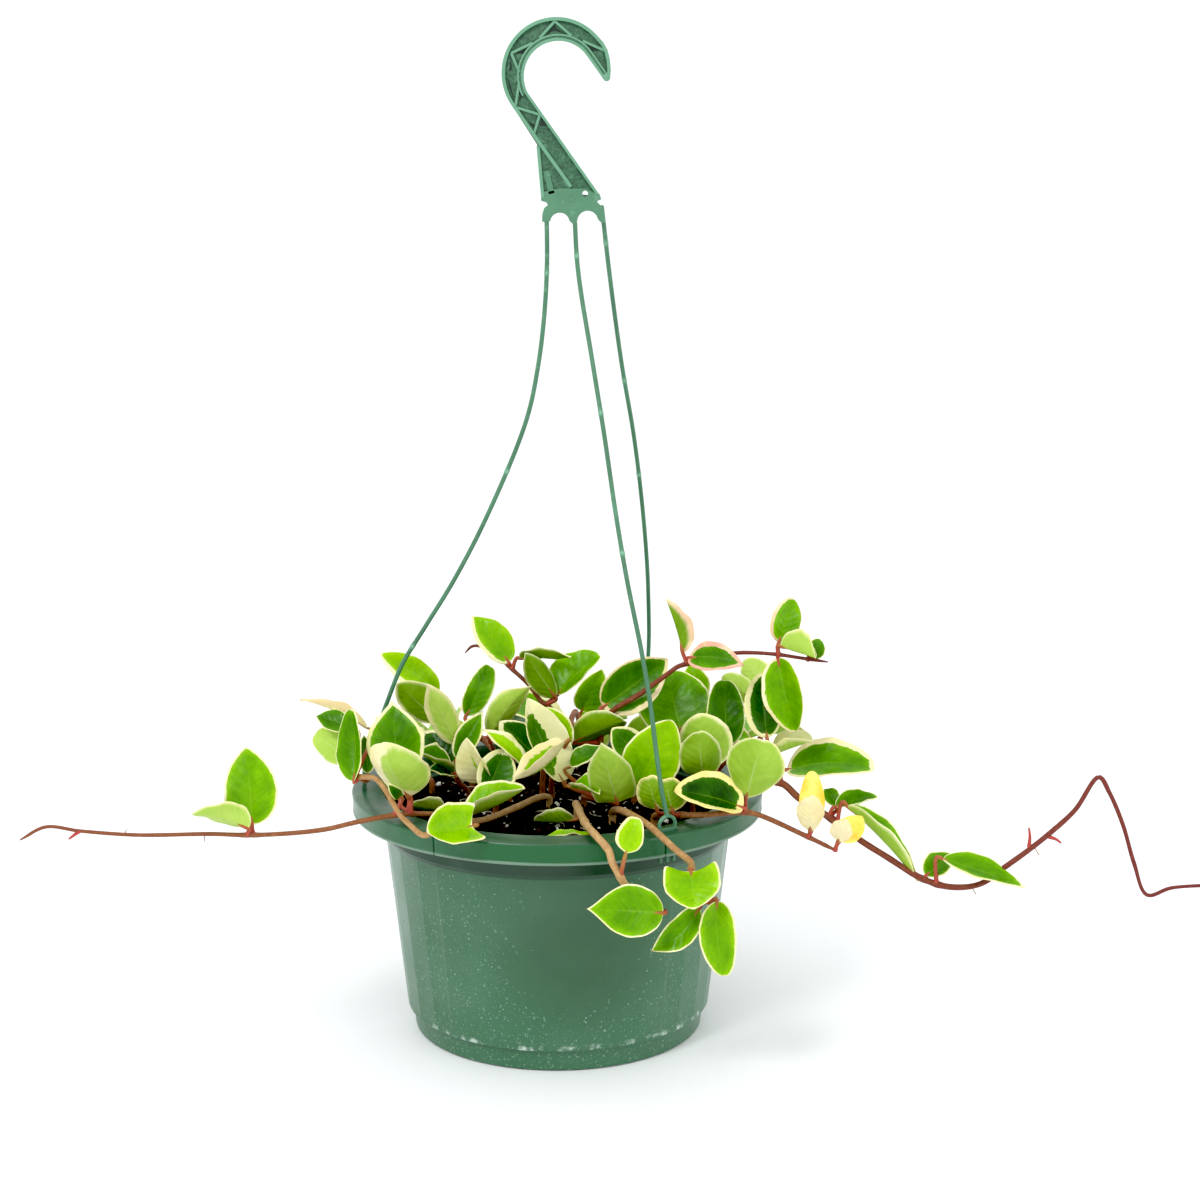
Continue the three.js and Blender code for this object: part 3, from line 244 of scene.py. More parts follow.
class Paint:
    """A node-based material in a few words."""

    def __init__(self, name):
        self.material = bpy.data.materials.new(name)
        self.material.use_nodes = True
        self.tree = self.material.node_tree
        self.tree.nodes.clear()
        self.shader = self.node("BsdfPrincipled")
        self.node("OutputMaterial", {"Surface": Wire(self, self.shader.outputs[0])})
        self.coords = self.out("TexCoord", "Object", {})

    def node(self, kind, inputs=None, **settings):
        made = self.tree.nodes.new("ShaderNode" + kind)
        for name, value in settings.items():
            setattr(made, name, value)
        for name, value in (inputs or {}).items():
            self.put(made.inputs[name], value)
        return made

    def out(self, kind, output, inputs, **settings):
        return Wire(self, self.node(kind, inputs, **settings).outputs[output])

    def put(self, socket, value):
        if isinstance(value, Wire):
            self.tree.links.new(value.socket, socket)
        elif isinstance(value, tuple) and len(value) == 3 and socket.type == "RGBA":
            socket.default_value = (*value, 1)
        else:
            socket.default_value = value

    def math(self, operation, a, b=0.0):
        return self.out("Math", 0, {0: a, 1: b}, operation=operation)

    def mix(self, share, a, b):
        return self.out("Mix", 2, {0: share, 6: a, 7: b}, data_type="RGBA")

    def step(self, value, low, high, to=(0.0, 1.0)):
        inputs = {"Value": value, "From Min": low, "From Max": high, "To Min": to[0], "To Max": to[1]}
        return self.out("MapRange", 0, inputs, interpolation_type="SMOOTHSTEP")

    def noise(self, scale, detail=2.0, rough=0.5, vector=None):
        inputs = {"Vector": vector or self.coords, "Scale": scale, "Detail": detail,
                  "Roughness": rough, "Distortion": 0.0}
        return self.out("TexNoise", 0, inputs)

    def cells(self, scale):
        """Distance to the nearest cell's point, and three random numbers of that cell."""
        made = self.node("TexVoronoi", {"Vector": self.coords, "Scale": scale})
        return Wire(self, made.outputs["Distance"]), self.split(Wire(self, made.outputs["Color"]))

    def trait(self, name):
        return self.split(self.out("Attribute", "Vector", {}, attribute_name=name))

    def xyz(self, x, y, z):
        return self.out("CombineXYZ", 0, {0: x, 1: y, 2: z})

    def split(self, vector):
        return [Wire(self, part) for part in self.node("SeparateXYZ", {0: vector}).outputs]

    def ramp(self, share, stops):
        made = self.node("ValToRGB", {0: share})
        line = made.color_ramp.elements
        while len(line) < len(stops):
            line.new(0.5)
        for element, (place, colour) in zip(line, stops):
            element.position = place
            element.color = (*colour, 1)
        return Wire(self, made.outputs[0])

    def finish(self, colour, rough, height=None, strength=0.0, distance=0.0, gloss=0.5):
        if height is not None:
            bump = self.out("Bump", 0, {"Height": height, "Strength": strength, "Distance": distance})
            self.put(self.shader.inputs["Normal"], bump)
        self.put(self.shader.inputs["Base Color"], colour)
        self.put(self.shader.inputs["Roughness"], rough)
        self.put(self.shader.inputs["Specular IOR Level"], gloss)
        return self.material


def leaf_paint():
    """Waxy leaves: green centre, jagged cream margin, pink where the light has caught it."""
    p = Paint("hoya_leaf")
    edge, side, share = p.trait("place")
    cream_width, pink, tone = p.trait("look")
    under, under_tone, seed = p.trait("extra")
    wide = abs(side)
    slant = share * 11.0 + wide * -3.0
    lane = p.xyz(slant, side * 1.8, seed * 37.0)
    ragged = p.noise(1.5, 4.0, 0.62, lane)
    reach = cream_width * 0.55 + 0.6
    shift = (ragged - 0.5) * reach
    past = edge + shift - cream_width * 0.95
    green = p.step(past, -0.05, 0.45)
    deep = p.step(past, 0.1, 3.6)
    cloud = p.noise(75.0, 3.0, 0.55) - 0.5
    streak = p.noise(2.2, 3.0, 0.6, lane) - 0.5
    # tone is partly the leaf's own green and partly painted light and shade: lower for a leaf that caught
    # the light, higher for one that lay in shade.
    shade = tone + cloud * 0.55 + streak * 0.3 + (deep - 1.0) * 0.16
    leaf_green = p.ramp(shade, [
        (0.0, (0.30, 0.56, 0.004)), (0.25, (0.165, 0.400, 0.002)), (0.5, (0.080, 0.250, 0.002)),
        (0.75, (0.030, 0.130, 0.002)), (1.0, (0.008, 0.046, 0.001))])
    blush = p.step(p.noise(160.0, 2.0, 0.5), 0.30, 0.62, (0.45, 1.0))
    blush = blush * p.math("MAXIMUM", pink, 0.0)
    cream = p.mix(p.step(p.noise(60.0, 1.0), 0.35, 0.7), (0.80, 0.77, 0.36), (0.88, 0.85, 0.52))
    cream = p.mix(blush, cream, (0.76, 0.41, 0.29))
    golden = p.mix(p.step(p.noise(90.0, 3.0), 0.35, 0.65), (0.90, 0.62, 0.075), (0.97, 0.84, 0.22))
    cream = p.mix(pink * -1.0, cream, golden)
    rib = p.step(wide, 0.0, 0.05, (1.0, 0.0))
    rib = rib * p.step(share, 0.35, 0.95, (1.0, 0.0))
    top = p.mix(green, cream, leaf_green)
    top = p.mix(rib * 0.22, top, (0.36, 0.56, 0.05))

    veil = p.step(past, -1.1, 1.2)
    # under_tone likewise holds painted light and shade on the underside as well as its own colour.
    dull = under_tone + cloud * 0.5 + streak * 0.2
    pale = p.ramp(dull, [
        (0.0, (0.47, 0.66, 0.12)), (0.3, (0.34, 0.53, 0.065)), (0.6, (0.20, 0.37, 0.018)),
        (1.0, (0.09, 0.20, 0.005))])
    below = p.mix(veil, cream, pale)
    below = p.mix(rib * 0.4, below, (0.56, 0.68, 0.33))
    colour = p.mix(under, top, below)

    vein = share * 7.0 - wide * 1.7
    vein = p.math("SINE", vein * TAU)
    height = vein * 0.1 + p.noise(1500.0, 3.0, 0.6) * 0.1
    height = height + p.noise(190.0, 2.0) * 0.9
    height = height + green * -0.12
    dust = p.step(p.noise(420.0, 3.0, 0.6), 0.45, 0.75, (0.27, 0.44))
    roughness = under * 0.18 + dust
    return p.finish(colour, roughness, height, 0.6, 0.0007, 0.2)


def stem_paint():
    """Stems and stalks: pale old bark, red-brown wood, purple young shoots, pink stalks."""
    p = Paint("hoya_stem")
    share, around, radius = p.trait("place")
    tone, fresh, seed = p.trait("look")
    is_stalk = p.trait("extra")[0]
    streak = p.noise(1.0, 4.0, 0.6, p.xyz(share * 26.0, around * 5.0, seed * 11.0))
    mottled = p.noise(520.0, 4.0, 0.65)
    mixed = streak * 0.5 + mottled * 0.5
    wander = tone + (mixed - 0.5) * 0.7
    bark = p.ramp(wander, [
        (0.0, (0.56, 0.37, 0.17)), (0.22, (0.38, 0.20, 0.075)), (0.45, (0.24, 0.088, 0.036)),
        (0.7, (0.185, 0.044, 0.028)), (1.0, (0.13, 0.016, 0.022))])
    spread = fresh + (mottled - 0.5) * 0.4
    stalk = p.ramp(spread, [
        (0.0, (0.26, 0.36, 0.03)), (0.35, (0.34, 0.21, 0.05)), (0.65, (0.40, 0.095, 0.05)),
        (1.0, (0.42, 0.06, 0.055))])
    colour = p.mix(is_stalk, bark, stalk)
    scar = p.step(p.noise(1300.0, 2.0, 0.5), 0.64, 0.76)
    woody = 1.0 - is_stalk
    colour = p.mix(scar * woody * 0.5, colour, (0.62, 0.5, 0.32))
    height = mixed + scar * 0.4
    return p.finish(colour, p.step(mottled, 0.2, 0.8, (0.45, 0.68)), height, 0.7, 0.0006, 0.25)


def basket_paint():
    """Moulded green plastic with dried water marks, dust, chalky wear and one wiped patch; painted shade
    under the skirt and on the rim's top face, a painted grey sheen down both sides and a painted highlight
    line along the skirt's lower edge.
    """
    p = Paint("basket_plastic")
    x, y, z = p.split(p.coords)
    wiped = p.out("VectorMath", "Value", {0: p.coords, 1: (0.014, -0.083, 0.061)}, operation="DISTANCE")
    wiped = p.step(wiped, 0.012, 0.062, (1.0, 0.0))
    cloud = p.noise(38.0, 4.0, 0.6)
    clean = wiped * p.step(cloud, 0.25, 0.6, (0.7, 1.0))
    low = p.step(z, 0.125, 0.012)
    dirt = low * 0.3 + cloud * 0.65
    dirt = dirt - clean * 0.6
    far, tint = p.cells(560.0)
    far_2, tint_2 = p.cells(1050.0)
    size = tint[1] * 0.34
    ring = abs(far - size)
    mark = p.step(ring, 0.035, 0.11, (1.0, 0.0))
    mark = mark * p.step(p.noise(900.0, 2.0), 0.48, 0.6)
    kept = p.math("LESS_THAN", tint[0], dirt * 1.5)
    mark = mark * kept
    speck = p.step(far_2, 0.10, 0.26, (1.0, 0.0))
    few = p.math("LESS_THAN", tint_2[0], dirt * 1.6 - 0.3)
    speck = speck * few * 0.75
    spots = p.math("MAXIMUM", mark, speck)
    below_rim = p.step(z, 0.1000, 0.0970)
    spots = spots * (0.08 + below_rim * 0.92)
    film = p.step(p.noise(21.0, 5.0, 0.62), 0.42, 0.78) * 0.22
    film = film * (1.0 - clean)
    edge_low = p.step(z, 0.0145, 0.0122) * p.step(z, 0.0098, 0.0106)
    # A painted highlight: a thin pale line round the rounded lower edge of the rim's skirt, where it
    # catches the light.
    painted_rim_highlight = p.step(z, 0.1125, 0.1115) * p.step(z, 0.1098, 0.1106)
    chalk = p.step(p.noise(120.0, 4.0, 0.7), 0.50, 0.66)
    worn = edge_low * (chalk * 0.75)
    worn = p.math("MAXIMUM", worn, painted_rim_highlight * 0.22)
    plain = p.mix(p.step(p.noise(9.0, 3.0), 0.35, 0.65), (0.038, 0.125, 0.060), (0.046, 0.145, 0.073))
    plain = p.mix(clean * 0.8, plain, (0.026, 0.082, 0.036))
    # Painted shade: the band under the rim's skirt, from 99.5 mm up, is darkened for the shadow that the
    # skirt casts on it.
    plain = p.mix(p.step(z, 0.0985, 0.0995), plain, (0.014, 0.056, 0.026))
    plain = p.mix(p.step(z, 0.1098, 0.1104), plain, (0.005, 0.092, 0.022))
    # Painted shade: the rim's top face is darkened for the shadow of the leaves over it.
    plain = p.mix(p.step(z, 0.1203, 0.1207), plain, (0.016, 0.080, 0.034))
    colour = p.mix(film, plain, (0.15, 0.25, 0.19))
    # Painted reflection: a pale grey sheen down the left and right sides of the wall, where the glossy
    # plastic mirrors the bright room at a grazing angle.
    sides = p.step(abs(x), 0.066, 0.084, (0.0, 0.4)) * p.step(z, 0.0995, 0.0985)
    colour = p.mix(sides * p.step(cloud, 0.2, 0.7, (0.6, 1.0)), colour, (0.26, 0.37, 0.31))
    colour = p.mix(spots * 0.62, colour, (0.32, 0.5, 0.39))
    # Chalky wear near the foot, and the painted highlight line along the skirt's lower edge.
    colour = p.mix(worn, colour, (0.62, 0.72, 0.66))
    rough = p.step(p.noise(30.0, 4.0), 0.3, 0.7, (0.26, 0.4)) + spots * 0.3
    height = p.noise(800.0, 3.0, 0.6) * 0.4 + spots * 0.5
    return p.finish(colour, rough, height, 0.30, 0.0003, 0.5)


def hanger_paint():
    """Lighter green plastic with mottled pale scuffs; painted highlights along the raised ribs and borders,
    painted shade on the recessed web and groove, near-black painted shadow in the web's pockets; strands
    are cleaner towards their clips.
    """
    p = Paint("hanger_plastic")
    # deep is a near-black painted shadow in the web's pockets and, on strands, the share towards the clip;
    # dark is painted shade of the recessed web and groove; pale is a painted highlight on ribs and borders
    # and a paler tint on knuckles, marks and the bar.
    deep, dark, pale = p.trait("place")
    mottled = p.noise(240.0, 4.0, 0.6)
    worn = p.step(mottled, 0.52, 0.72) * 0.35
    green = p.mix(p.step(p.noise(45.0, 2.0), 0.35, 0.65), (0.050, 0.155, 0.080), (0.064, 0.190, 0.102))
    grain = p.step(p.noise(900.0, 4.0, 0.7), 0.36, 0.64)
    # The web: a mottled grain darkened as painted shade of its recess, and nearly black where deep paints
    # shadow.
    web = p.mix(grain, (0.024, 0.078, 0.042), (0.050, 0.150, 0.076))
    web = p.mix(deep, web, (0.006, 0.022, 0.013))
    green = p.mix(dark, green, web)
    # Pale mottled scuffs, fading towards the clips, and the painted highlight along ribs and borders.
    colour = p.mix(p.math("MAXIMUM", worn * (1.0 - deep), pale), green, (0.22, 0.47, 0.31))
    fine = p.noise(1200.0, 3.0, 0.6)
    height = fine * 0.4 + mottled * 0.6
    return p.finish(colour, p.step(mottled, 0.3, 0.7, (0.30, 0.46)), height, 0.35, 0.0003, 0.5)


def soil_paint():
    """Damp dark peat, nearly black: partly its own colour, partly painted shade of the leaves over it."""
    p = Paint("potting_mix")
    clump = p.noise(260.0, 5.0, 0.65)
    fibre = p.noise(900.0, 3.0, 0.7)
    colour = p.ramp(clump, [(0.30, (0.002, 0.0015, 0.001)), (0.55, (0.006, 0.004, 0.003)),
                            (0.70, (0.018, 0.011, 0.006)), (0.82, (0.05, 0.03, 0.015))])
    colour = p.mix(p.step(fibre, 0.66, 0.78) * 0.3, colour, (0.1, 0.06, 0.03))
    height = clump + fibre * 0.5
    return p.finish(colour, p.step(clump, 0.3, 0.7, (0.7, 0.95)), height, 1.0, 0.0015, 0.12)


def crumb_paint(name, dark, light):
    p = Paint(name)
    cloud = p.noise(700.0, 4.0, 0.65)
    pick = p.trait("look")[0]
    colour = p.mix(cloud * 0.6 + pick * 0.5, dark, light)
    return p.finish(colour, p.step(cloud, 0.3, 0.7, (0.6, 0.9)), cloud, 0.8, 0.0006, 0.15)


def floor_paint():
    p = Paint("studio_floor")
    cloud = p.noise(2.0, 2.0)
    colour = p.mix(cloud, (0.93, 0.935, 0.945), (0.95, 0.955, 0.965))
    return p.finish(colour, p.step(cloud, 0.3, 0.7, (0.7, 0.8)))


# The basket, in mm.
POT_HEIGHT = 121.0
WALL_TOP_RADIUS = 87.8
WALL_FOOT_RADIUS = 75.4
WALL_FOOT_HEIGHT = 11.2
WALL = 1.8
FLUTE_TOP = 100.5
FLUTES = 32
PLAIN_FRONT = math.radians(42)
DRAIN_RING, DRAIN_RADIUS, DRAIN_TURN = 46.0, 5.0, 0.2
CLIP_ANGLES = [math.radians(a) for a in (33, 153, 273)]
CLIP_RADIUS = 95.5
NOTCHES = (math.radians(-33.5), math.radians(30.4))
NOTCH_DEPTH = 0.8
FLOOR_RADIUS, FLOOR_THICKNESS, FLOOR_HEIGHT = 66.0, 2.0, 1.0


def wall_radius(height):
    share = (height - WALL_FOOT_HEIGHT) / (POT_HEIGHT - WALL_FOOT_HEIGHT)
    return WALL_FOOT_RADIUS + share * (WALL_TOP_RADIUS - WALL_FOOT_RADIUS)


def basket_profile():
    band = [(wall_radius(h) + out, h) for h, out in
            ((118.6, 0.7), (117.8, 0.35), (110.0, 0.3), (101.6, 0.3), (101.2, 0.5), (100.7, 0.5),
             (100.3, 0.25), (99.9, 0.0), (98.2, 0.0), (97.0, 0.0), (80.0, 0.0), (55.0, 0.0),
             (30.0, 0.0), (15.5, 0.0), (13.2, 0.0), (12.2, 0.0))]
    inner = [(wall_radius(h) - WALL, h) for h in (20.0, 60.0, 100.0, 117.5)]
    return [
        (86.15, 120.2), (86.5, 120.8), (87.1, 121.0), (94.0, 121.0), (100.4, 121.0), (101.1, 120.8),
        (101.45, 120.3), (101.5, 119.6), (101.35, 119.1), (101.3, 118.6), (101.0, 113.5),
        (100.85, 112.2), (101.15, 111.8), (101.2, 111.2), (100.95, 110.8), (100.3, 110.75),
        (99.3, 110.85), (99.1, 111.3), (99.7, 118.6), (99.4, 119.2), (93.0, 119.3), (88.7, 119.2),
        *band,
        (75.45, 11.6), (75.2, 11.1), (74.7, 10.8), (73.1, 10.6), (72.6, 10.3), (72.35, 9.6),
        (71.85, 1.2), (71.6, 0.4), (71.0, 0.05), (70.2, 0.0), (65.0, 0.0), (65.0, 2.0),
        (68.6, 2.0), (69.6, 2.6), (70.6, 9.6), (72.4, 11.2), *inner, (85.7, 119.2),
    ]


def basket_shape(radius, height, turn):
    """Flat flutes round the wall except in front, and two short notches in the skirt."""
    from_front = (turn + math.pi) % TAU - math.pi
    pitch = TAU / FLUTES
    local = (from_front + pitch / 2) % pitch - pitch / 2
    chord = math.cos(pitch / 2) / np.cos(local)
    away = smooth(PLAIN_FRONT - 0.004, PLAIN_FRONT + 0.004, np.abs(from_front))
    tall = smooth(WALL_FOOT_HEIGHT + 0.4, WALL_FOOT_HEIGHT + 2.0, height)
    tall = tall * smooth(FLUTE_TOP - 0.6, FLUTE_TOP - 3.6, height)
    outside = radius > wall_radius(height) - 0.6 * WALL
    radius = np.where(outside, radius * (1 + away * tall * (chord - 1)), radius)
    skirt = (radius > 100.2) & (height < 120.5)
    for angle in NOTCHES:
        dent = smooth(0.006, 0.002, np.abs(from_front - angle))
        radius = np.where(skirt, radius - NOTCH_DEPTH * dent, radius)
    return radius


def make_basket(paint):
    body = Body()
    pitch = TAU / FLUTES
    extra = [a + d for a in NOTCHES for d in (-0.008, -0.005, -0.0025, 0.0, 0.0025, 0.005, 0.008)]
    extra += [s * (PLAIN_FRONT + d) for s in (-1, 1) for d in (-0.004, 0.004)]
    extra += [s * k * pitch + pitch / 2 + d for s in (-1, 1)
              for k in range(FLUTES // 2 + 1) for d in (-0.002, 0.0, 0.002)]
    even = np.arange(256) * TAU / 256
    angles = np.unique(np.round(np.concatenate([even, np.array(extra) % TAU]), 5))
    turned(body, basket_profile(), angles, basket_shape)
    drains = [circle(DRAIN_RING * math.cos(k * TAU / 6 + DRAIN_TURN),
                     DRAIN_RING * math.sin(k * TAU / 6 + DRAIN_TURN), DRAIN_RADIUS, 32) for k in range(6)]
    points, faces = flat_plate([circle(0, 0, FLOOR_RADIUS, 96), *drains], FLOOR_THICKNESS, 0.2)
    body.add(points + (0, 0, FLOOR_HEIGHT), faces)
    body.make("basket", [paint], "pot", crease=32)


def circle(x, y, radius, steps):
    return [(x + radius * math.cos(k * TAU / steps), y + radius * math.sin(k * TAU / steps))
            for k in range(steps)]


def mesh_parts(form):
    return np.array([v.co for v in form.verts]), [tuple(v.index for v in f.verts) for f in form.faces]


def flat_plate(outlines, depth, bevel):
    """Points and faces of a plate in the XY plane with rounded edges; later outlines are holes."""
    curve = bpy.data.curves.new("outline", "CURVE")
    curve.dimensions = "2D"
    curve.fill_mode = "BOTH"
    curve.extrude = depth / 2 - bevel
    curve.bevel_depth = bevel
    curve.bevel_resolution = 1
    curve.offset = -bevel
    for outline in outlines:
        spline = curve.splines.new("POLY")
        spline.points.add(len(outline) - 1)
        for point, (x, y) in zip(spline.points, outline):
            point.co = (x, y, 0, 1)
        spline.use_cyclic_u = True
    holder = bpy.data.objects.new("outline", curve)
    bpy.context.scene.collection.objects.link(holder)
    graph = bpy.context.evaluated_depsgraph_get()
    mesh = bpy.data.meshes.new_from_object(holder.evaluated_get(graph))
    form = bmesh.new()
    form.from_mesh(mesh)
    bmesh.ops.remove_doubles(form, verts=form.verts, dist=1e-4)
    bmesh.ops.recalc_face_normals(form, faces=form.faces)
    points, faces = mesh_parts(form)
    form.free()
    bpy.data.meshes.remove(mesh)
    bpy.data.objects.remove(holder)
    bpy.data.curves.remove(curve)
    return points, faces


def upright(plate):
    """The same plate stood up in the XZ plane."""
    points, faces = plate
    return np.stack([points[:, 0], -points[:, 2], points[:, 1]], -1), faces


# The potting mix.
SOIL_EDGE, SOIL_CROWN, SOIL_RADIUS = 110.0, 112.5, 84.0
SOIL_BUMPS = [(0.06, 3.1, 1.3), (0.22, 7.7, 0.9), (0.8, 1.3, 0.45)]
SOIL_DROP = 0.9
SOIL_RINGS, SOIL_SIDES = 64, 160
SOIL_BOTTOM = 2.4
BARK, PERLITE, ROOT = 1, 2, 3
CRUMBS = [(1500, BARK, 0.7, 2.3, 0.8), (150, PERLITE, 0.35, 1.1, 0.9), (26, PERLITE, 1.0, 1.8, 0.8)]
FRONT_ROOTS = ((-22, -76, -0.9, 12), (-17, -79, -1.1, 15), (-8, -74, 0.5, 9), (26, -72, 2.5, 12),
               (-34, -70, 0.2, 12), (8, -80, 2.8, 9), (20, -78, 0.7, 11))
rng = np.random.default_rng(11)


def soil_height(x, y):
    crown = SOIL_EDGE + (SOIL_CROWN - SOIL_EDGE) * (1 - (math.hypot(x, y) / SOIL_RADIUS) ** 2)
    bumps = [noise.noise(Vector((x * pitch, y * pitch, layer))) * size for pitch, layer, size in SOIL_BUMPS]
    return crown + bumps[0] + bumps[1] + bumps[2] - SOIL_DROP


def make_soil(paints):
    body = Body()
    sides = SOIL_SIDES
    edge = wall_radius(108.0) - WALL - 0.35
    rings = [(edge * ring / SOIL_RINGS, None) for ring in range(1, SOIL_RINGS + 1)]
    rings += [(wall_radius(60.0) - WALL - 0.4, 60.0), (wall_radius(12.0) - WALL - 1.6, 12.0),
              (69.0, SOIL_BOTTOM)]
    points, faces = [(0, 0, soil_height(0, 0))], []
    for ring, (radius, height) in enumerate(rings):
        start = 1 + ring * sides
        for side in range(sides):
            x, y = radius * math.cos(side * TAU / sides), radius * math.sin(side * TAU / sides)
            points.append((x, y, soil_height(x, y) if height is None else height))
            a, b = start + side, start + (side + 1) % sides
            faces.append((a - sides, a, b, b - sides) if ring else (0, a, b))
    for side in range(sides):
        faces.append((len(points), start + (side + 1) % sides, start + side))
    points.append((0, 0, SOIL_BOTTOM))
    body.add(points, faces)
    ball = small_ball()
    for count, kind, low, high, flat in CRUMBS:
        for _ in range(count):
            radius = edge * math.sqrt(rng.random()) * 0.985
            turn = rng.random() * TAU
            x, y = radius * math.cos(turn), radius * math.sin(turn)
            size = low + (high - low) * rng.random() ** 2
            crumb(body, ball, (x, y, soil_height(x, y) + size * 0.25), size, flat, kind)
    for _ in range(90):
        radius, turn = edge * math.sqrt(rng.random()) * 0.97, rng.random() * TAU
        root_hair(body, radius * math.cos(turn), radius * math.sin(turn), rng.random() * TAU,
                  rng.uniform(5, 14), ROOT if rng.random() < 0.55 else BARK)
    for x, y, turn, length in FRONT_ROOTS:
        root_hair(body, x, y, turn, length, ROOT)
    body.make("potting_mix_top", paints, "potting_mix")


def small_ball():
    form = bmesh.new()
    bmesh.ops.create_icosphere(form, subdivisions=1, radius=1)
    ball = mesh_parts(form)
    form.free()
    return ball


def crumb(body, ball, centre, size, flat, kind):
    """A small uneven lump."""
    points, faces = ball
    stretch = rng.uniform(0.65, 1.35, 3) * (1, 1, flat)
    points = points * stretch * (1 + rng.uniform(-0.28, 0.28, (len(points), 1)))
    turn = rng.random(3) * TAU
    spin = np.array(Matrix.Rotation(turn[0], 3, "X") @ Matrix.Rotation(turn[1], 3, "Y")
                    @ Matrix.Rotation(turn[2], 3, "Z"))
    body.add(points @ spin.T * size + centre, faces, kind, look=(rng.random(), 0, 0))


def root_hair(body, x, y, turn, length, kind):
    """A fine root lying on the soil."""
    steps, farthest = 6, 82
    points = []
    for step in range(steps + 1):
        reach = length * step / steps
        bend = turn + 0.5 * math.sin(reach * 0.35 + x)
        px, py = x + reach * math.cos(bend), y + reach * math.sin(bend)
        if math.hypot(px, py) > farthest:
            break
        points.append((px, py, soil_height(px, py) + 0.5 + 0.8 * math.sin(math.pi * step / steps)))
    if len(points) > 2:
        tube(body, points, np.linspace(0.28, 0.14, len(points)), 5, kind)


# The hanger: circles as (x, z, radius) and places as (x, z), in mm.
HOOK_OUTER = (0.7, 465.2, 25.7)
HOOK_INNER = (1.6, 463.9, 16.3)
HOOK_TIP = [(22.5, 479.5), (24.5, 476), (25.7, 471.5), (26.1, 466.5), (25.7, 462.8), (24.2, 461.65),
            (22.85, 462.25)]
SLOT = [(-1.9, 410.3), (-4.3, 420.2)]
STRAPS = [((-4.3, 403), CLIP_ANGLES[2]), ((8.8, 403), CLIP_ANGLES[0]), ((21.8, 404), CLIP_ANGLES[1])]
STRAND_ROUTES = [
    [[-5, 403.5, 0], [-6.5, 376.5, 0], [-9.7, 351, 0], [-15.3, 325.5, -1], [-34.5, 278.5, -2],
     [-51.5, 245.5, -3], [-66, 222, -4], [-77.3, 203.5, -4], [-84, 187, -5], [-90, 170, -5]],
    [[10.5, 400.5, -3], [17.5, 356, -16], [23.7, 317.5, -28], [29.4, 278.5, -38], [35, 245.5, -48],
     [42.2, 210, -60], [46.5, 184.5, -68], [49.4, 161.5, -74], [52.4, 140, -79]],
    [[27, 392.5, 16], [32.5, 352.5, 34], [38.2, 319, 50], [42.2, 287, 64], [44.9, 255.5, 74],
     [45.7, 236, 79], [45.8, 211.5, 84]],
]
KNUCKLES = [(373, 278, 192), (381, 309, 245), (387, 318, 268)]
STRAND_RADIUS = 1.1
CLIP_RING, CLIP_WIRE, CLIP_RISE = 4.5, 0.95, 2.8
# Traits of the hook's plates as (deep, dark, pale). Dark is painted shade of the recessed web and groove,
# pale a painted highlight on ribs and borders, deep a near-black painted shadow in the web's pockets.
WEB_SHADE_TINT, RIB_HIGHLIGHT_TINT, BAR_TINT, MARK_TINT = (0, 1, 0), (0, 0, 0.42), (0, 0.1, 0.1), (0, 0.4, 0.1)
GROOVE_SHADE_TINT, POCKET_SHADOW_TINT = (0, 0.3, 0.05), (1, 1, 0)
BAR_TOP = 412
MARKS = [(0.6, 428.9, 2.2), (7.5, 407.6, 1.9), (-14.4, 451.6, 1.7), (-16.1, 472.6, 1.6),
         (-10.4, 482.0, 1.6), (11.0, 483.7, 1.6), (21.0, 472.6, 1.5)]
# Pockets of the web between ribs and borders, filled with near-black painted shadow.
SHADOW_POCKETS = [
    [(-18.6, 474.4), (-12.2, 477.2), (-14.2, 474.2)], [(-16.4, 471.6), (-13.2, 470.6), (-16.0, 466.6)],
    [(-20.6, 472.6), (-21.6, 466.4), (-20.2, 467.0)], [(-16.2, 459.6), (-14.0, 457.6), (-16.8, 452.4)],
    [(-19.2, 453.4), (-21.4, 458.6), (-22.2, 463.2), (-20.8, 460.0)],
    [(-0.4, 487.0), (-3.6, 483.4), (-0.2, 484.8), (3.6, 483.6)],
    [(-6.4, 445.4), (-3.4, 441.2), (-7.2, 441.0)],
    [(13.4, 479.2), (20.6, 475.8), (17.4, 475.4)], [(-9.6, 439.2), (-12.8, 443.6), (-9.4, 441.6)],
]


def arc(centre, start, end, steps, grow=0.0):
    x, z, radius = centre
    reach = radius + grow
    return [(x + reach * math.cos(a), z + reach * math.sin(a))
            for a in np.radians(np.linspace(start, end, steps + 1))]


def strip(line, width):
    """The outline of an even strip along a line of points."""
    line = np.array(line, float)
    along = np.gradient(line, axis=0)
    along /= np.linalg.norm(along, axis=1)[:, None]
    side = np.stack([-along[:, 1], along[:, 0]], -1) * width / 2
    return [tuple(p) for p in np.concatenate([line + side, (line - side)[::-1]])]


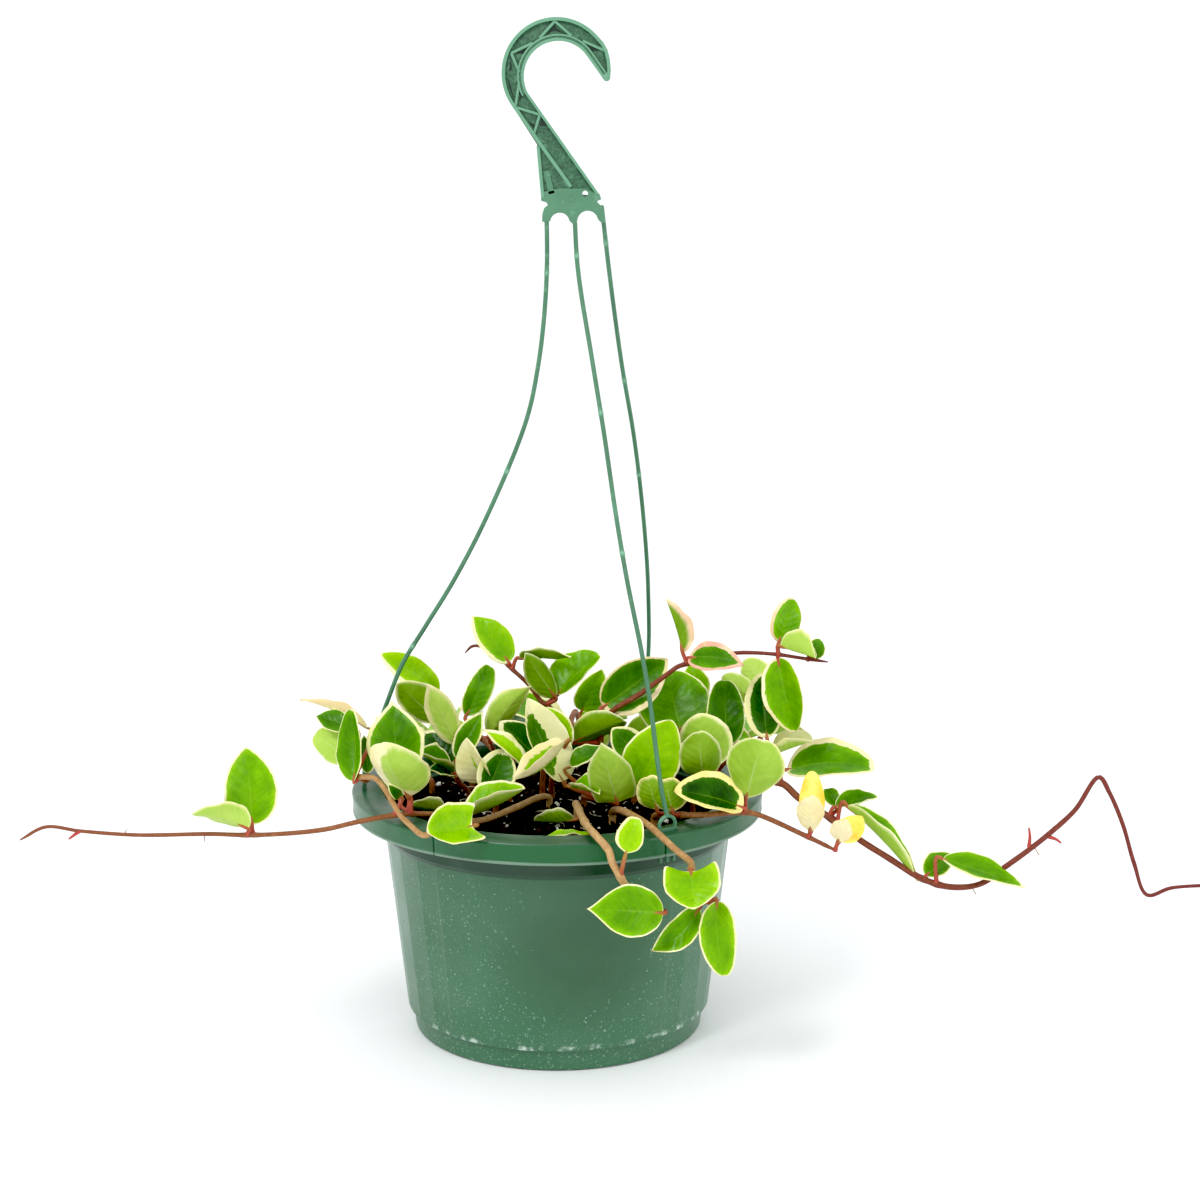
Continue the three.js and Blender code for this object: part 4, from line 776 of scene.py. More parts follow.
def hook_plates():
    outer = arc(HOOK_OUTER, 42, 218, 44)
    inner = arc(HOOK_INNER, 211, 33, 34)
    web = outer + [(-8.6, 432.6), (-6.6, 410.0), (20.7, 408.6)] + inner + HOOK_TIP[::-1]
    holes = [circle(14.0, 409.9, 1.35, 20), strip(SLOT, 2.0)]
    plates = [([web, holes[1], holes[0]], 1.2, 0.2, WEB_SHADE_TINT)]
    nose = [(24.9, 463.8), (25.25, 466.5), (24.87, 471.3), (23.75, 475.6), (21.9, 478.9)]
    lines = [
        (nose + arc(HOOK_OUTER, 42, 216, 44, -0.85) + [(-8.0, 434.2), (7.3, 413.1)], 1.7, 5.0),
        ([(19.9, 409.6)] + arc(HOOK_INNER, 208, 34, 34, 0.6) + [(23.2, 463)], 1.3, 4.92),
        (arc(HOOK_INNER, 208, 34, 34, 2.6) + [(24.2, 464.8)], 0.9, 4.6),
        ([(-8.1, 432.0), (-6.0, 408.0)], 1.6, 3.6),
    ]
    ribs = [[(-7.2, 481.2), (0, 489)], [(0, 489), (7.8, 482.2)], [(-10.4, 479.1), (-20.4, 474.5)],
            [(-20.4, 474.5), (-16.7, 465.7)], [(-16.7, 461.6), (-18.7, 449.6)],
            [(-18, 449.6), (-7.2, 446.4)], [(-7.2, 446.4), (-10, 437.7)], [(12.9, 480.1), (23.3, 475.6)]]
    lines += [(rib, 1.3, 4.2) for rib in ribs]
    # Ribs and borders are painted pale: a painted highlight where their raised edges catch the light.
    plates += [([strip(line, width)], depth - 0.02 * item, 0.28, RIB_HIGHLIGHT_TINT)
               for item, (line, width, depth) in enumerate(lines)]
    plates.append(([circle(24.1, 463.5, 1.8, 24)], 5.08, 0.28, RIB_HIGHLIGHT_TINT))
    groove = arc(HOOK_INNER, 207, 36, 34, 1.7) + [(23.6, 464.4)]
    plates.append(([strip(groove, 1.3)], 3.4, 0.1, GROOVE_SHADE_TINT))
    # Near-black plates of painted shadow in the web's pockets.
    plates += [([pocket], 1.5, 0.1, POCKET_SHADOW_TINT) for pocket in SHADOW_POCKETS]
    bar = [(-6.7, 410.5), (-6.9, 406.6), (-4.4, 405.8), (-3.6, 404.6), (-5.4, 403.2), (-6.3, 400.5),
           (-6.4, 396.8), (-3.9, 396.6)]
    bar += arc((2.0, 396.4, 4.6), 172, 10, 12)
    bar += [(7.7, 396.0), (10.0, 396.0)]
    bar += arc((15.2, 397.0, 4.9), 168, 12, 12)
    bar += [(21.2, 396.6), (23.4, 396.4), (23.3, 400.6), (22.2, 403.6), (20.2, 405.4), (19.6, 406.4),
            (21.6, 407.2), (20.9, 409.6), (14, 412.4), (2, 412.4)]
    plates.append(([bar, *holes], 3.0, 0.4, BAR_TINT))
    for x, z, radius in MARKS:
        height = 3.2 if z < BAR_TOP else 1.6
        plates.append(([circle(x, z, radius, 24), circle(x, z, radius - 0.45, 24)], height, 0.1, MARK_TINT))
    return plates


def clip_at(angle, radius, height):
    return np.array([radius * math.sin(angle), -radius * math.cos(angle), height])


def clip_block(angle, width, thickness, bottom, top, shift=0.0):
    outline = [(shift - width / 2, bottom), (shift + width / 2, bottom), (shift + width / 2, top),
               (shift - width / 2, top)]
    points, faces = upright(flat_plate([outline], thickness, 0.25))
    spin = np.array(Matrix.Rotation(angle, 3, "Z"))
    return points @ spin.T + clip_at(angle, CLIP_RADIUS, 0), faces


def make_hanger(paint):
    body = Body()
    for outlines, depth, bevel, tint in hook_plates():
        body.add(*upright(flat_plate(outlines, depth, bevel)), place=tint)
    ring_height = POT_HEIGHT + CLIP_RISE
    for (top, angle), route, knuckles in zip(STRAPS, STRAND_ROUTES, KNUCKLES):
        end = clip_at(angle, CLIP_RADIUS, ring_height + CLIP_RING)
        places = [np.array([top[0], 0, top[1]]), *(seen(*p) for p in route), end]
        points, length = Curve(places).spaced(1.6)
        swell = sum(np.exp(-((points[:, 2] - k) / 0.9) ** 2) for k in knuckles)
        radii = STRAND_RADIUS * (1 + 0.24 * swell)
        pale = np.concatenate([np.repeat(swell * 0.8, 14), [0, 0]])
        tube(body, points, radii, 14, traits=lambda share, around: {"place": traits_of(share, 0, pale)})
        turn = np.radians(np.linspace(-26, 206, 37))
        loop = clip_at(angle, CLIP_RADIUS, ring_height) + CLIP_RING * (
            np.outer(np.cos(turn), (math.cos(angle), math.sin(angle), 0))
            + np.outer(np.sin(turn), (0, 0, 1)))
        tube(body, loop, CLIP_WIRE, 10)
        body.add(*clip_block(angle, 11, 1.6, POT_HEIGHT + 0.05, POT_HEIGHT + 1.7))
        body.add(*clip_block(angle, 9, 1.5, 109.8, POT_HEIGHT + 0.6))
        for shift in (-3.7, 0, 3.7):
            body.add(*clip_block(angle, 1.6, 1.5, 106.3, 110.4, shift))
    body.make("hanger_hook", [paint], "hanger", crease=38)


# The leaves.
LEAF_ROWS = 24
LEAF_SIDES = np.array([-1, -0.985, -0.94, -0.85, -0.7, -0.52, -0.32, -0.14, 0, 0.14, 0.32, 0.52, 0.7,
                       0.85, 0.94, 0.985, 1])
BLADE_THICKNESS = 1.25
EDGE_WAVE = 0.5
LOBE_REACH = 0.4
STALK_BEND = 3.0
SPOON = 0.5
FOLD_ROUNDING = 0.02
STEM = 1


class Leaf:
    """One leaf: its place, its form and how it is coloured.

    Turn swings its top face from the viewer, in degrees. The cup folds both halves up, more on
    one side with lean. Bow raises the middle, sweep bends it sideways and lobe sets its base
    back, as shares of its length. Root, point and skew shape the outline: the lower the fuller
    at the base, at the tip and near the base. Its stalk starts at the stem point nearest to the
    joint and is thick times as strong as others.
    """

    def __init__(self, base, tip, width, turn, cup, bow, look=None, seed=0.0, lobe=0.02, lean=0.0,
                 sweep=0.0, root=0.56, point=0.72, skew=0.84, joint=None, thick=1.0):
        self.base = base
        self.joint = base if joint is None else seen(*joint)
        along = tip - base
        self.length = float(np.linalg.norm(along))
        self.along = along / self.length
        facing = unit(EYE - base)
        facing = unit(facing - self.along * facing.dot(self.along))
        beside = np.cross(self.along, facing)
        turn = math.radians(turn)
        self.top = facing * math.cos(turn) + beside * math.sin(turn)
        self.sideways = np.cross(self.along, self.top)
        self.width, self.cup, self.bow, self.lobe = width, math.radians(cup), bow, lobe
        self.lean, self.sweep, self.thick = lean, sweep, thick
        self.root, self.point, self.skew = root, point, skew
        self.look, self.seed = look, seed

    def half(self, share):
        share = np.clip(share, 0, 1)
        power = self.root + (self.point - self.root) * share
        return 0.5 * self.width * np.maximum(np.sin(math.pi * share ** self.skew), 0) ** power

    def place(self, share, side, lift):
        wobble = 1 + 0.022 * np.sin(9 * share + 40 * self.seed) * np.sin(3.0 * side + 9 * self.seed)
        wobble = wobble + 0.010 * np.sin(31 * share + 90 * self.seed + 2 * side)
        half = self.half(share) * wobble
        wide = np.abs(side)
        back = self.lobe * wide * np.sin(math.pi * np.minimum(1, share / LOBE_REACH))
        wave = EDGE_WAVE * side * side * np.sin(1.5 * TAU * share + 2 * side)
        ripple = np.sin(19 * share + 70 * self.seed + 3 * side) * np.sin(math.pi * share)
        wave = wave + 0.45 * wide ** 3 * ripple
        middle = 4 * share * (1 - share)
        crease = math.sqrt(FOLD_ROUNDING)
        fold = (np.sqrt(side * side + FOLD_ROUNDING) - crease) / (math.sqrt(1 + FOLD_ROUNDING) - crease)
        fold = (1 - SPOON) * fold + SPOON * side * side
        cup = self.cup * (1 + self.lean * side)
        rise = fold * half * np.sin(cup) + wave + lift
        shifts = (
            (self.length * (share - back), self.along),
            (side * half * np.cos(cup) + self.sweep * self.length * middle, self.sideways),
            (rise + self.length * self.bow * middle, self.top))
        return self.base + sum(np.multiply.outer(length, axis) for length, axis in shifts)


def add_leaf(body, leaf):
    """A fleshy blade: two faces that meet in a rounded edge, with a groove along the midrib."""
    shares = 0.5 - 0.5 * np.cos(math.pi * np.arange(LEAF_ROWS + 1) / LEAF_ROWS)
    share, side = np.meshgrid(shares[1:-1], LEAF_SIDES, indexing="ij")
    half = leaf.half(share)
    flesh = BLADE_THICKNESS * np.sqrt(np.clip(1 - np.abs(side) ** 6, 0, 1))
    flesh = flesh * (0.45 + 0.55 * np.sin(math.pi * np.clip(share, 0.08, 0.95)))
    lift = 0.5 * flesh
    rib = np.exp(-(side * half / 0.8) ** 2) * smooth(1.0, 0.4, share)
    over = leaf.place(share, side, lift - 0.28 * rib)
    under = leaf.place(share, side, -lift - 0.30 * rib)[:, 1:-1]
    base = leaf.place(np.array([0.0]), np.array([0.0]), 0.0)
    tip = leaf.place(np.array([1.0]), np.array([0.0]), 0.0)
    rows, columns = share.shape
    points = np.concatenate([base, tip, over.reshape(-1, 3), under.reshape(-1, 3)])
    over_at = 2 + np.arange(rows * columns).reshape(rows, columns)
    under_at = over_at.copy()
    under_at[:, 1:-1] = 2 + rows * columns + np.arange(rows * (columns - 2)).reshape(rows, -1)
    faces = []
    for left, right in ((over_at[:, :-1], over_at[:, 1:]), (under_at[:, 1:], under_at[:, :-1])):
        ends = np.zeros_like(left[0])
        faces += np.stack([ends, right[0], left[0]], -1).tolist()
        faces += np.stack([ends + 1, left[-1], right[-1]], -1).tolist()
        faces += np.stack([left[:-1], right[:-1], right[1:], left[1:]], -1).reshape(-1, 4).tolist()
    tone, cream, lean, pink, under_tone = leaf.look
    near_tip = leaf.length * np.minimum(share, 1 - share) * 0.9
    edge = np.minimum((1 - np.abs(side)) * half, near_tip + 0.4)
    width = cream * np.clip(1 + lean * side, 0.12, 2.2)

    def spread(values, first, last):
        return np.concatenate([[first, last], values.ravel(), values[:, 1:-1].ravel()])

    below = np.concatenate([[0.5, 0.5], np.where(np.abs(side) > 0.999, 0.5, 0.0).ravel(),
                            np.ones(rows * (columns - 2))])
    body.add(points, faces, place=traits_of(spread(edge, 0.5, 0), spread(side, 0, 0), spread(share, 0, 1)),
             look=traits_of(spread(width, cream, cream), pink, tone),
             extra=traits_of(below, under_tone, leaf.seed))


def add_stalk(body, leaf, stem, fresh):
    """The stalk from the stem to the blade, thickest at both ends."""
    nearest = stem[np.argmin(np.linalg.norm(stem - leaf.joint, axis=1))]
    reach = min(0.25 * np.linalg.norm(nearest - leaf.base), STALK_BEND)
    bend = leaf.base - leaf.along * reach
    inside = leaf.place(np.array([min(0.22, 6.0 / leaf.length)]), np.array([0.0]), -0.45)[0]
    start = leaf.place(np.array([0.02]), np.array([0.0]), -0.2)[0]
    points, length = Curve([nearest, bend, start, inside]).spaced(1.1)
    share = np.linspace(0, 1, len(points))
    radii = 0.98 + 0.42 * np.exp(-(share / 0.12) ** 2) - 0.62 * smooth(0.62, 1.0, share)
    radii = radii * (1 + (leaf.thick - 1) * smooth(1.0, 0.55, share))
    tube(body, points, radii, 10, STEM, traits=lambda share, around: {
        "place": traits_of(share, around, 1), "extra": (1, 0, 0),
        "look": traits_of(0.5, fresh * (1 - 0.55 * share), leaf.seed)})


# Each vine: its name, the place of its root, its radius, the tone of its bark at both ends with
# the freshness of its stalks, its stem and its leaves. Each leaf: the base and the tip as across,
# up and back seen from the front, width, turn, cup and bow. Its look follows: tone from bright
# to dark green, the cream margin in mm, its lean to one side, pinkness (golden below zero) and
# tone of the underside. Both tones are partly the leaf's own green and partly painted light and
# shade, lighter for a leaf that caught the light and darker for one that lay in shade. Any
# special form comes last.
VINES = [
    ("left_runner", (-46, -34), (1.35, 0.75), (0.36, 0.55, 0.9),
     [[-57, 128.5, -48], [-66, 128.5, -57], [-76, 128.5, -63], [-97.7, 125, -74], [-118, 120.5, -78],
      [-150.5, 118, -84], [-174, 118.5, -88], [-210, 118, -93], [-238.5, 120, -98], [-255.8, 122, -102],
      [-268.5, 115.5, -106]], [
     [-78.5, 136, -50, -82.5, 185.5, -38, 28.8, 0, 14, 0.05, 0.55, 1.9, -0.15, 0, 0.3,
      {"root": 0.8, "point": 1.2, "skew": 1.2}],
     [-74.2, 137.5, -61, -88, 163.8, -82, 32, 143, 27, -0.05, 0.3, 6.6, 0.95, 0.15, 0.15,
      {"root": 0.55, "point": 0.65, "thick": 1.5}],
     [-78.3, 137, -71, -84.6, 143.4, -88, 5.5, 0, 10, 0.05, 0.8, 0.15, 0, 0, 0.5],
     [-152.5, 123, -80, -155.5, 162, -74, 26, 8, 14, 0.05, 0.34, 1, 0, 0.1, 0.3],
     [-154.5, 121.5, -86, -182.5, 128.5, -100, 22, 118, 16, 0.08, 0.4, 0.7, 0, 0, 0.12],
     [-56, 130, -40, -73.5, 133, -44, 16, 118, 10, 0.05, 0.2, 0.6, 0, 0, 0.1]]),
    ("left_loop", (-4, -8), (1.75, 1.15), (0.05, 0.22, 0.8),
     [[-8, 137, -12], [-20, 132, -27], [-37, 125.5, -50], [-46, 124.8, -66], [-53, 124, -80],
      [-62, 119.5, -92], [-66.5, 117.8, -91], [-74, 123.5, -84], [-78.5, 128, -81], [-81.5, 133, -79],
      [-86.5, 141.5, -76], [-90.5, 146, -72], [-97.5, 147, -62], [-101, 147, -54]], [
     [-101.6, 145, -61, -102.7, 181, -48, 18, -36, 38, -0.07, 0.5, 0.9, 0.9, 0, 0.15, {"point": 0.5}],
     [-95, 171.5, -26, -128.7, 185.7, -30, 9.5, 110, 42, 0.07, 0.3, 6.5, 0.2, 0.45, 0.12,
      {"point": 1.1}],
     [-102.5, 171.5, -32, -120.5, 177.5, -26, 12, 20, 15, 0.05, 0.65, 0.3, 0, 0, 0.3, {"point": 0.9}],
     [-103.5, 157, -32, -121, 168.5, -22, 16, 170, 10, -0.05, 0.1, 0.3, 0, 0, 0.16, {"point": 0.28}],
     [-94.5, 149, -24, -96.6, 168, -20, 9, 10, 20, 0.05, 0.8, 0.5, 0.5, 0, 0.3],
     [-46.5, 127.5, -58, -16, 141.5, -62, 25, -70, 45, -0.04, 0.25, 1.1, 0, 0, 0.3],
     [-42.5, 122.5, -91, -65, 119.5, -102, 25, 25, 32, -0.05, 0.14, 1, 0, 0, 0.15,
      {"lobe": 0.28, "root": 0.4, "point": 0.5}]]),
    ("back_left", (-44, 30), (1.5, 1.1), (0.45, 0.6, 0.8),
     [[-52, 158, 28], [-57, 172, 26], [-59, 180, 25], [-60, 187, 24]], [
     [-59, 189.5, 20, -88.5, 208.5, 14, 16.5, 20, 15, 0.05, 0.16, 1.3, -0.9, 0, 0.2,
      {"root": 0.75, "point": 0.6}],
     [-60, 175, 16, -80, 194, 6, 20, 165, 20, 0.04, 0.4, 1.3, 0.3, 0, 0.62]]),
    ("left_mid", (-44, 0), (1.6, 1.1), (0.35, 0.5, 0.8),
     [[-50, 146.5, -8], [-48, 156, -10], [-46, 166, 0], [-44, 174, 8]], [
     [-49.5, 163, -12, -64.7, 193.5, -26, 15.5, 185, 20, 0.04, 0.3, 1.9, 0.2, 0.12, 0.08,
      {"point": 0.9}],
     [-45.5, 177.5, 12, -33.5, 202.5, 24, 14, 10, 14, 0.05, 0.5, 0.5, 0, 0, 0.4,
      {"root": 0.7, "point": 0.3}],
     [-50, 156, -16, -37, 180, -8, 13.5, -10, 22, 0.03, 0.6, 1, 0, 0, 0.4, {"point": 1}],
     [-52, 151.5, -14, -66, 170, -4, 20, 20, 25, 0.06, 0.9, 2.2, 0.5, 0.1, 0.4],
     [-53, 149.5, -18, -70, 159, -32, 18, 70, 40, 0.04, 0.6, 1, 0, 0, 0.5],
     [-52.5, 147.5, -20, -64, 150.5, -34, 10, 60, 20, 0.04, 0.9, 0.5, 0, 0, 0.7]]),
    ("top_left", (-8, 16), (1.6, 0.7), (0.4, 0.7, 0.85),
     [[-6, 160, 16], [-4.2, 183, 18], [-7, 184, 18], [-14.5, 193.5, 21], [-22, 200.5, 24], [-32, 209, 36],
      [-38, 212.3, 40], [-42.6, 212.3, 42], [-46, 209, 43]], [
     [-24, 204, 25, -42.5, 227.5, 36, 19, 25, 15, 0.05, 0.28, 1.4, -0.9, 0, 0.3, {"point": 0.8}],
     [-18.5, 206.5, 24, 7, 207, 14, 18, -107, 10, 0.03, 0.3, 0.8, 0, 0, 0.6],
     [-1, 187, 16, -16, 209, 6, 14.5, 195, 20, 0.04, 0.4, 0.4, 0, 0, 0.75, {"point": 0.8}],
     [0, 188, 20, 21.5, 208, 28, 26, -45, 30, 0.04, 0.4, 0.7, 0.5, 0, 0.4, {"point": 0.5}]]),
    ("centre_left_a", (-24, 6), (1.5, 1.1), (0.4, 0.6, 0.8),
     [[-26, 146, 4], [-30, 156, 0], [-33, 164, -2]], [
     [-33.5, 166, -2, -13, 192.5, -16, 16, 200, 25, 0.05, 0.4, 0.8, 0, 0, 0.22,
      {"point": 1, "sweep": 0.06}],
     [-9.5, 156.5, -13, -28.8, 174.8, -10, 19, 5, 25, 0.04, 0.75, 2.8, -0.8, 0, 0.4]]),
    ("centre_left_b", (-3, 8), (1.6, 1.2), (0.3, 0.5, 0.8),
     [[-3, 140, -4], [-2, 150, -14], [1, 158, -18]], [
     [3, 145, -34, -15, 186.5, -28, 27, 26, 40, -0.1, 0.7, 7.5, 0.95, 0, 0.3],
     [4, 160, -20, -5, 182, -12, 18, -10, 14, 0.04, 0.16, 0.9, 0, 0, 0.4],
     [-15.5, 152, -34, -37.5, 171, -30, 12, 40, 30, 0.06, 0.02, 1.8, 0.2, 0, 0.4, {"point": 0.9}],
     [3.5, 164, -44, -21.3, 146, -60, 20, 60, 55, -0.12, 0.35, 5, -0.6, 0.25, 0.15]]),
    ("centre_left_c", (-30, -20), (1.5, 1.1), (0.35, 0.5, 0.8),
     [[-34, 136, -26], [-36, 140, -34]], [
     [-36.5, 144.5, -34, -45.5, 166.5, -42, 19, -30, 30, 0.05, 0.15, 9, 0, 0.08, 0.2],
     [-35.5, 138, -48, -26, 160, -34, 21, 10, 25, -0.04, 0.78, 2.4, -0.5, 0, 0.3, {"point": 0.5}]]),
    ("front_hanger_a", (10, -26), (2, 1.6), (0.05, 0.12, 0.7),
     [[9.5, 133.5, -33], [12.5, 127, -58], [15.5, 122, -82], [20, 117.2, -100], [26, 110, -106.5],
      [27.5, 104.5, -107.5], [31.2, 97.8, -108], [35, 92, -108], [46, 82, -108], [54, 79.5, -109]], [
     [53, 79, -111, 14.5, 81, -119, 24.5, 5, 10, 0.05, 0.42, 0.6, 0, 0, 0.3, {"point": 1.3}],
     [34.5, 109, -110, 39.5, 127, -107, 13.5, -5, 18, 0.06, 0.1, 1, -0.5, 0, 0.3,
      {"root": 0.9, "point": 0.35, "joint": [31.5, 97, -108]}],
     [9, 126, -46, -11.7, 125.5, -42, 15, 115, 25, -0.03, 0.3, 0.5, 0, 0, 0.55],
     [16.5, 117.6, -70, -6.5, 116.8, -70, 12, 78, 10, 0.05, 0.1, 0.3, 0, 0, 0.2]]),
    ("front_hanger_b", (27, -34), (1.8, 1.45), (0.08, 0.22, 0.7),
     [[31, 130.5, -46], [40, 126.5, -66], [46.5, 122.3, -84.5], [53, 116.5, -99], [60, 110, -103],
      [67, 104, -102], [67, 99.5, -101], [70, 86, -99], [76, 84, -100]], [
     [67, 99.5, -104, 69, 81, -119, 27, 0, 12, 0.08, 0.2, 0.75, 0, 0, 0.3,
      {"lobe": 0.3, "root": 0.35, "point": 0.63}],
     [71, 81.5, -99, 47, 60, -104, 15, 10, 20, 0.05, 0.45, 0.6, 0, 0, 0.3,
      {"point": 0.9, "sweep": -0.12}],
     [80, 85, -102, 83.8, 47.5, -108, 18, -5, 18, 0.06, 0.34, 0.7, 0, 0, 0.3,
      {"point": 0.45, "sweep": 0.05}]]),
    ("right_front", (47, -42), (1.8, 1), (0.2, 0.55, 0.95),
     [[52, 128, -50], [60, 128, -57], [72, 128, -66], [92, 129.5, -62], [99.5, 128.5, -62],
      [124.5, 117.5, -68], [139, 110.5, -74]], [
     [94.5, 136.5, -62, 102.7, 165.5, -82, 28.5, 178, 14, -0.05, 0.3, 0.7, 0, 0, 0.36,
      {"root": 0.8, "point": 0.45, "skew": 1.2}],
     [93, 131.5, -66, 58.5, 140, -66, 25, 38, 28, 0.06, 0.92, 3.4, -0.2, -0.5, 0.5, {"point": 0.5}],
     [50, 131, -58, 45, 147, -62, 16, 175, 20, -0.05, 0.3, 1.2, 0, -0.4, 0.65, {"point": 0.35}],
     [58, 130, -62, 54, 146, -62, 18, 170, 20, -0.05, 0.3, 1.2, 0, -0.4, 0.7, {"point": 0.35}],
     [127.5, 122, -68, 127.5, 150, -60, 12.5, 0, 18, 0.05, 0, 14, 0, -1, 0, {"point": 0.45}],
     [126.5, 120, -71, 127, 137.5, -84, 13.5, 180, 15, -0.06, 0, 14, 0, 0.3, 0,
      {"point": 0.6, "skew": 1.2}],
     [141.5, 115, -76, 153, 127, -70, 13, -10, 15, 0.06, 0, 14, 0, -1, 0],
     [140.5, 115, -77, 144, 126, -86, 11, 180, 15, -0.06, 0, 14, 0, 0.3, 0]]),
    ("right_runner", (56, -6), (2, 0.78), (0.45, 0.85, 0.9),
     [[70, 141.5, -8], [90, 145.5, -14], [112, 144, -20], [121, 136.5, -24], [137, 126.3, -30],
      [151.5, 115.5, -36], [165, 107, -42], [183, 96, -48], [197, 92, -52], [211.5, 93.5, -55],
      [224, 102, -57], [236.5, 111, -59], [246.5, 119, -60], [259, 130.5, -62], [271, 147, -63],
      [276.3, 139, -64], [283, 123, -66], [288.5, 104, -68], [295, 88, -71], [307, 91.5, -72],
      [327.5, 93, -75]], [
     [115, 150.5, -12, 158.9, 151.5, -22, 27, -42, 20, 0.1, 0.5, 2.4, -0.3, 0.2, 0.1, {"point": 0.45}],
     [106.5, 157.5, -16, 128, 165, -24, 21, -75, 40, 0.04, 0.2, 5, -0.8, 0, 0.15, {"point": 0.45}],
     [139.5, 132, -30, 160.3, 137, -24, 13, -50, 25, 0.05, 0.65, 0.5, 0, 0, 0.2],
     [140, 133, -26, 134, 141, -18, 9, 10, 20, 0.05, 0.65, 0.3, 0, 0, 0.3],
     [145, 132.5, -36, 180.5, 94.5, -46, 20, -80, 40, 0.04, 0.45, 0.7, 0, 0, 0.35, {"point": 0.9}],
     [184.5, 97.5, -48, 197.6, 108.6, -40, 14, -20, 20, 0.05, 0.6, 0.6, 0, 0, 0.3, {"point": 0.9}],
     [193, 106, -55, 234, 91.5, -62, 17, -48, 20, 0.05, 0.5, 1, 0.6, 0.1, 0.15,
      {"point": 1, "sweep": 0.04}]]),
    ("top_right", (18, 10), (1.8, 0.7), (0.35, 0.85, 0.9),
     [[20, 155, -2], [26, 178, -12], [41.5, 188.5, -15], [58, 200.5, -18], [60, 202, -18], [74, 206, -20],
      [89, 209, -22], [108, 208.5, -24], [122, 206.5, -26], [135.5, 204.5, -28]], [
     [23, 182, -8, 55.5, 206, -2, 27, 5, 25, 0.05, 0.65, 2, 0.45, 0.35, 0.3, {"point": 0.8}],
     [12.5, 180, 4, 22.5, 201, -2, 16, 10, 15, 0.04, 0.35, 0.6, 0, 0, 0.5],
     [9, 165, -10, 34, 175, -22, 20, -140, 25, 0.05, 0.4, 0.6, 0, 0, 0.6, {"point": 0.5}],
     [63, 209, -18, 54.5, 236, -22, 15, 128, 50, 0.05, 0.6, 2, 0, 0.7, 0.75, {"point": 0.9}],
     [66, 206.5, -20, 93.4, 203, -34, 15.5, -15, 16, 0.05, 0.66, 2, -0.35, 1, 0.3,
      {"point": 0.9, "sweep": -0.05}],
     [111, 214.5, -20, 117.5, 236.5, -12, 15, 8, 14, 0.05, 0.45, 1, -0.9, 0.6, 0.3, {"point": 0.5}],
     [111.5, 212.5, -26, 129.5, 206.5, -34, 22, -108, 50, 0.03, 0.55, 0.6, 0, 0.05, 0.2],
     [126, 206.5, -23, 131.8, 215.5, -19, 10, 15, 15, 0.05, 0.7, 0.3, 0, 0, 0.3, {"point": 0.4}],
     [110.5, 206.5, -24, 119, 169.5, -32, 22, 18, 25, 0.05, 0.4, 1.1, 0.7, 0.3, 0.3, {"point": 0.5}]]),
    ("centre_right_a", (38, 2), (1.7, 1.1), (0.4, 0.55, 0.85),
     [[39, 142, -14], [40, 152, -26], [50, 160, -20], [61, 168, -8], [70, 184, 8]], [
     [62.5, 168, -6, 54.5, 199.5, 12, 36, 0, 12, 0.05, 0.5, 0.7, 0, 0, 0.3, {"point": 0.45}],
     [38.5, 140, -44, 57.5, 175.5, -44, 28, 5, 12, 0.05, 0.16, 0.8, 0, 0, 0.3, {"point": 0.6}],
     [41.5, 157, -30, 27.5, 171.5, -26, 16, 5, 15, 0.04, 0.7, 1.3, 0.3, 0, 0.3],
     [71.5, 185, 12, 66.5, 203.5, 18, 15, 0, 14, 0.05, 0.25, 0.6, 0, 0, 0.3]]),
    ("centre_right_b", (13, -6), (1.6, 1.2), (0.35, 0.5, 0.8),
     [[14, 137, -14], [20, 136, -34], [28, 134.5, -46]], [
     [30, 134.5, -50, 22, 164, -66, 23, 175, 18, -0.04, 0.3, 0.6, 0, 0, 0.35,
      {"root": 0.4, "point": 0.95, "skew": 0.7, "lobe": 0.15}],
     [6.5, 152, -37, 25, 161, -35, 14, -50, 25, 0.04, 0.65, 0.9, 0.4, 0, 0.5, {"point": 0.8}],
     [7.5, 142, -44, 21.5, 138.5, -56, 16, -60, 42, 0.04, 0.35, 0.8, 0, 0, 0.4]]),
    ("centre_right_c", (66, -28), (1.5, 1.1), (0.3, 0.5, 0.8),
     [[68, 138, -32], [73, 146, -36]], [
     [72.8, 147, -46, 70.5, 169.5, -60, 21, 182, 12, -0.05, 0.3, 0.5, 0, 0, 0.55, {"point": 0.45}],
     [79, 152, -36, 69, 178, -40, 27, 180, 12, -0.05, 0.3, 2, 0, 0, 0.32, {"point": 0.5}]]),
    ("centre_right_d", (76, 14), (1.6, 1.1), (0.4, 0.6, 0.85),
     [[80, 150, 0], [88, 158, -12], [100, 164, -22], [103, 172, -12], [102, 184, 4]], [
     [105, 166.5, -28, 102, 199, -14, 20, -5, 24, 0.05, 0.88, 2.1, -0.6, 0.1, 0.3, {"point": 0.6}],
     [84.5, 162.5, -14, 83.5, 195.4, -2, 19.5, 5, 14, 0.06, 0.7, 0.4, 0, 0, 0.3, {"point": 0.35}],
     [104, 192, 4, 94, 206, 12, 16, 175, 12, -0.04, 0.05, 0.8, 0, 0, 0.1, {"point": 0.5}],
     [97, 186, 2, 83, 198, 8, 14, 175, 14, -0.04, 0.4, 0.6, 0, 0, 0.15, {"point": 0.5}]]),
]

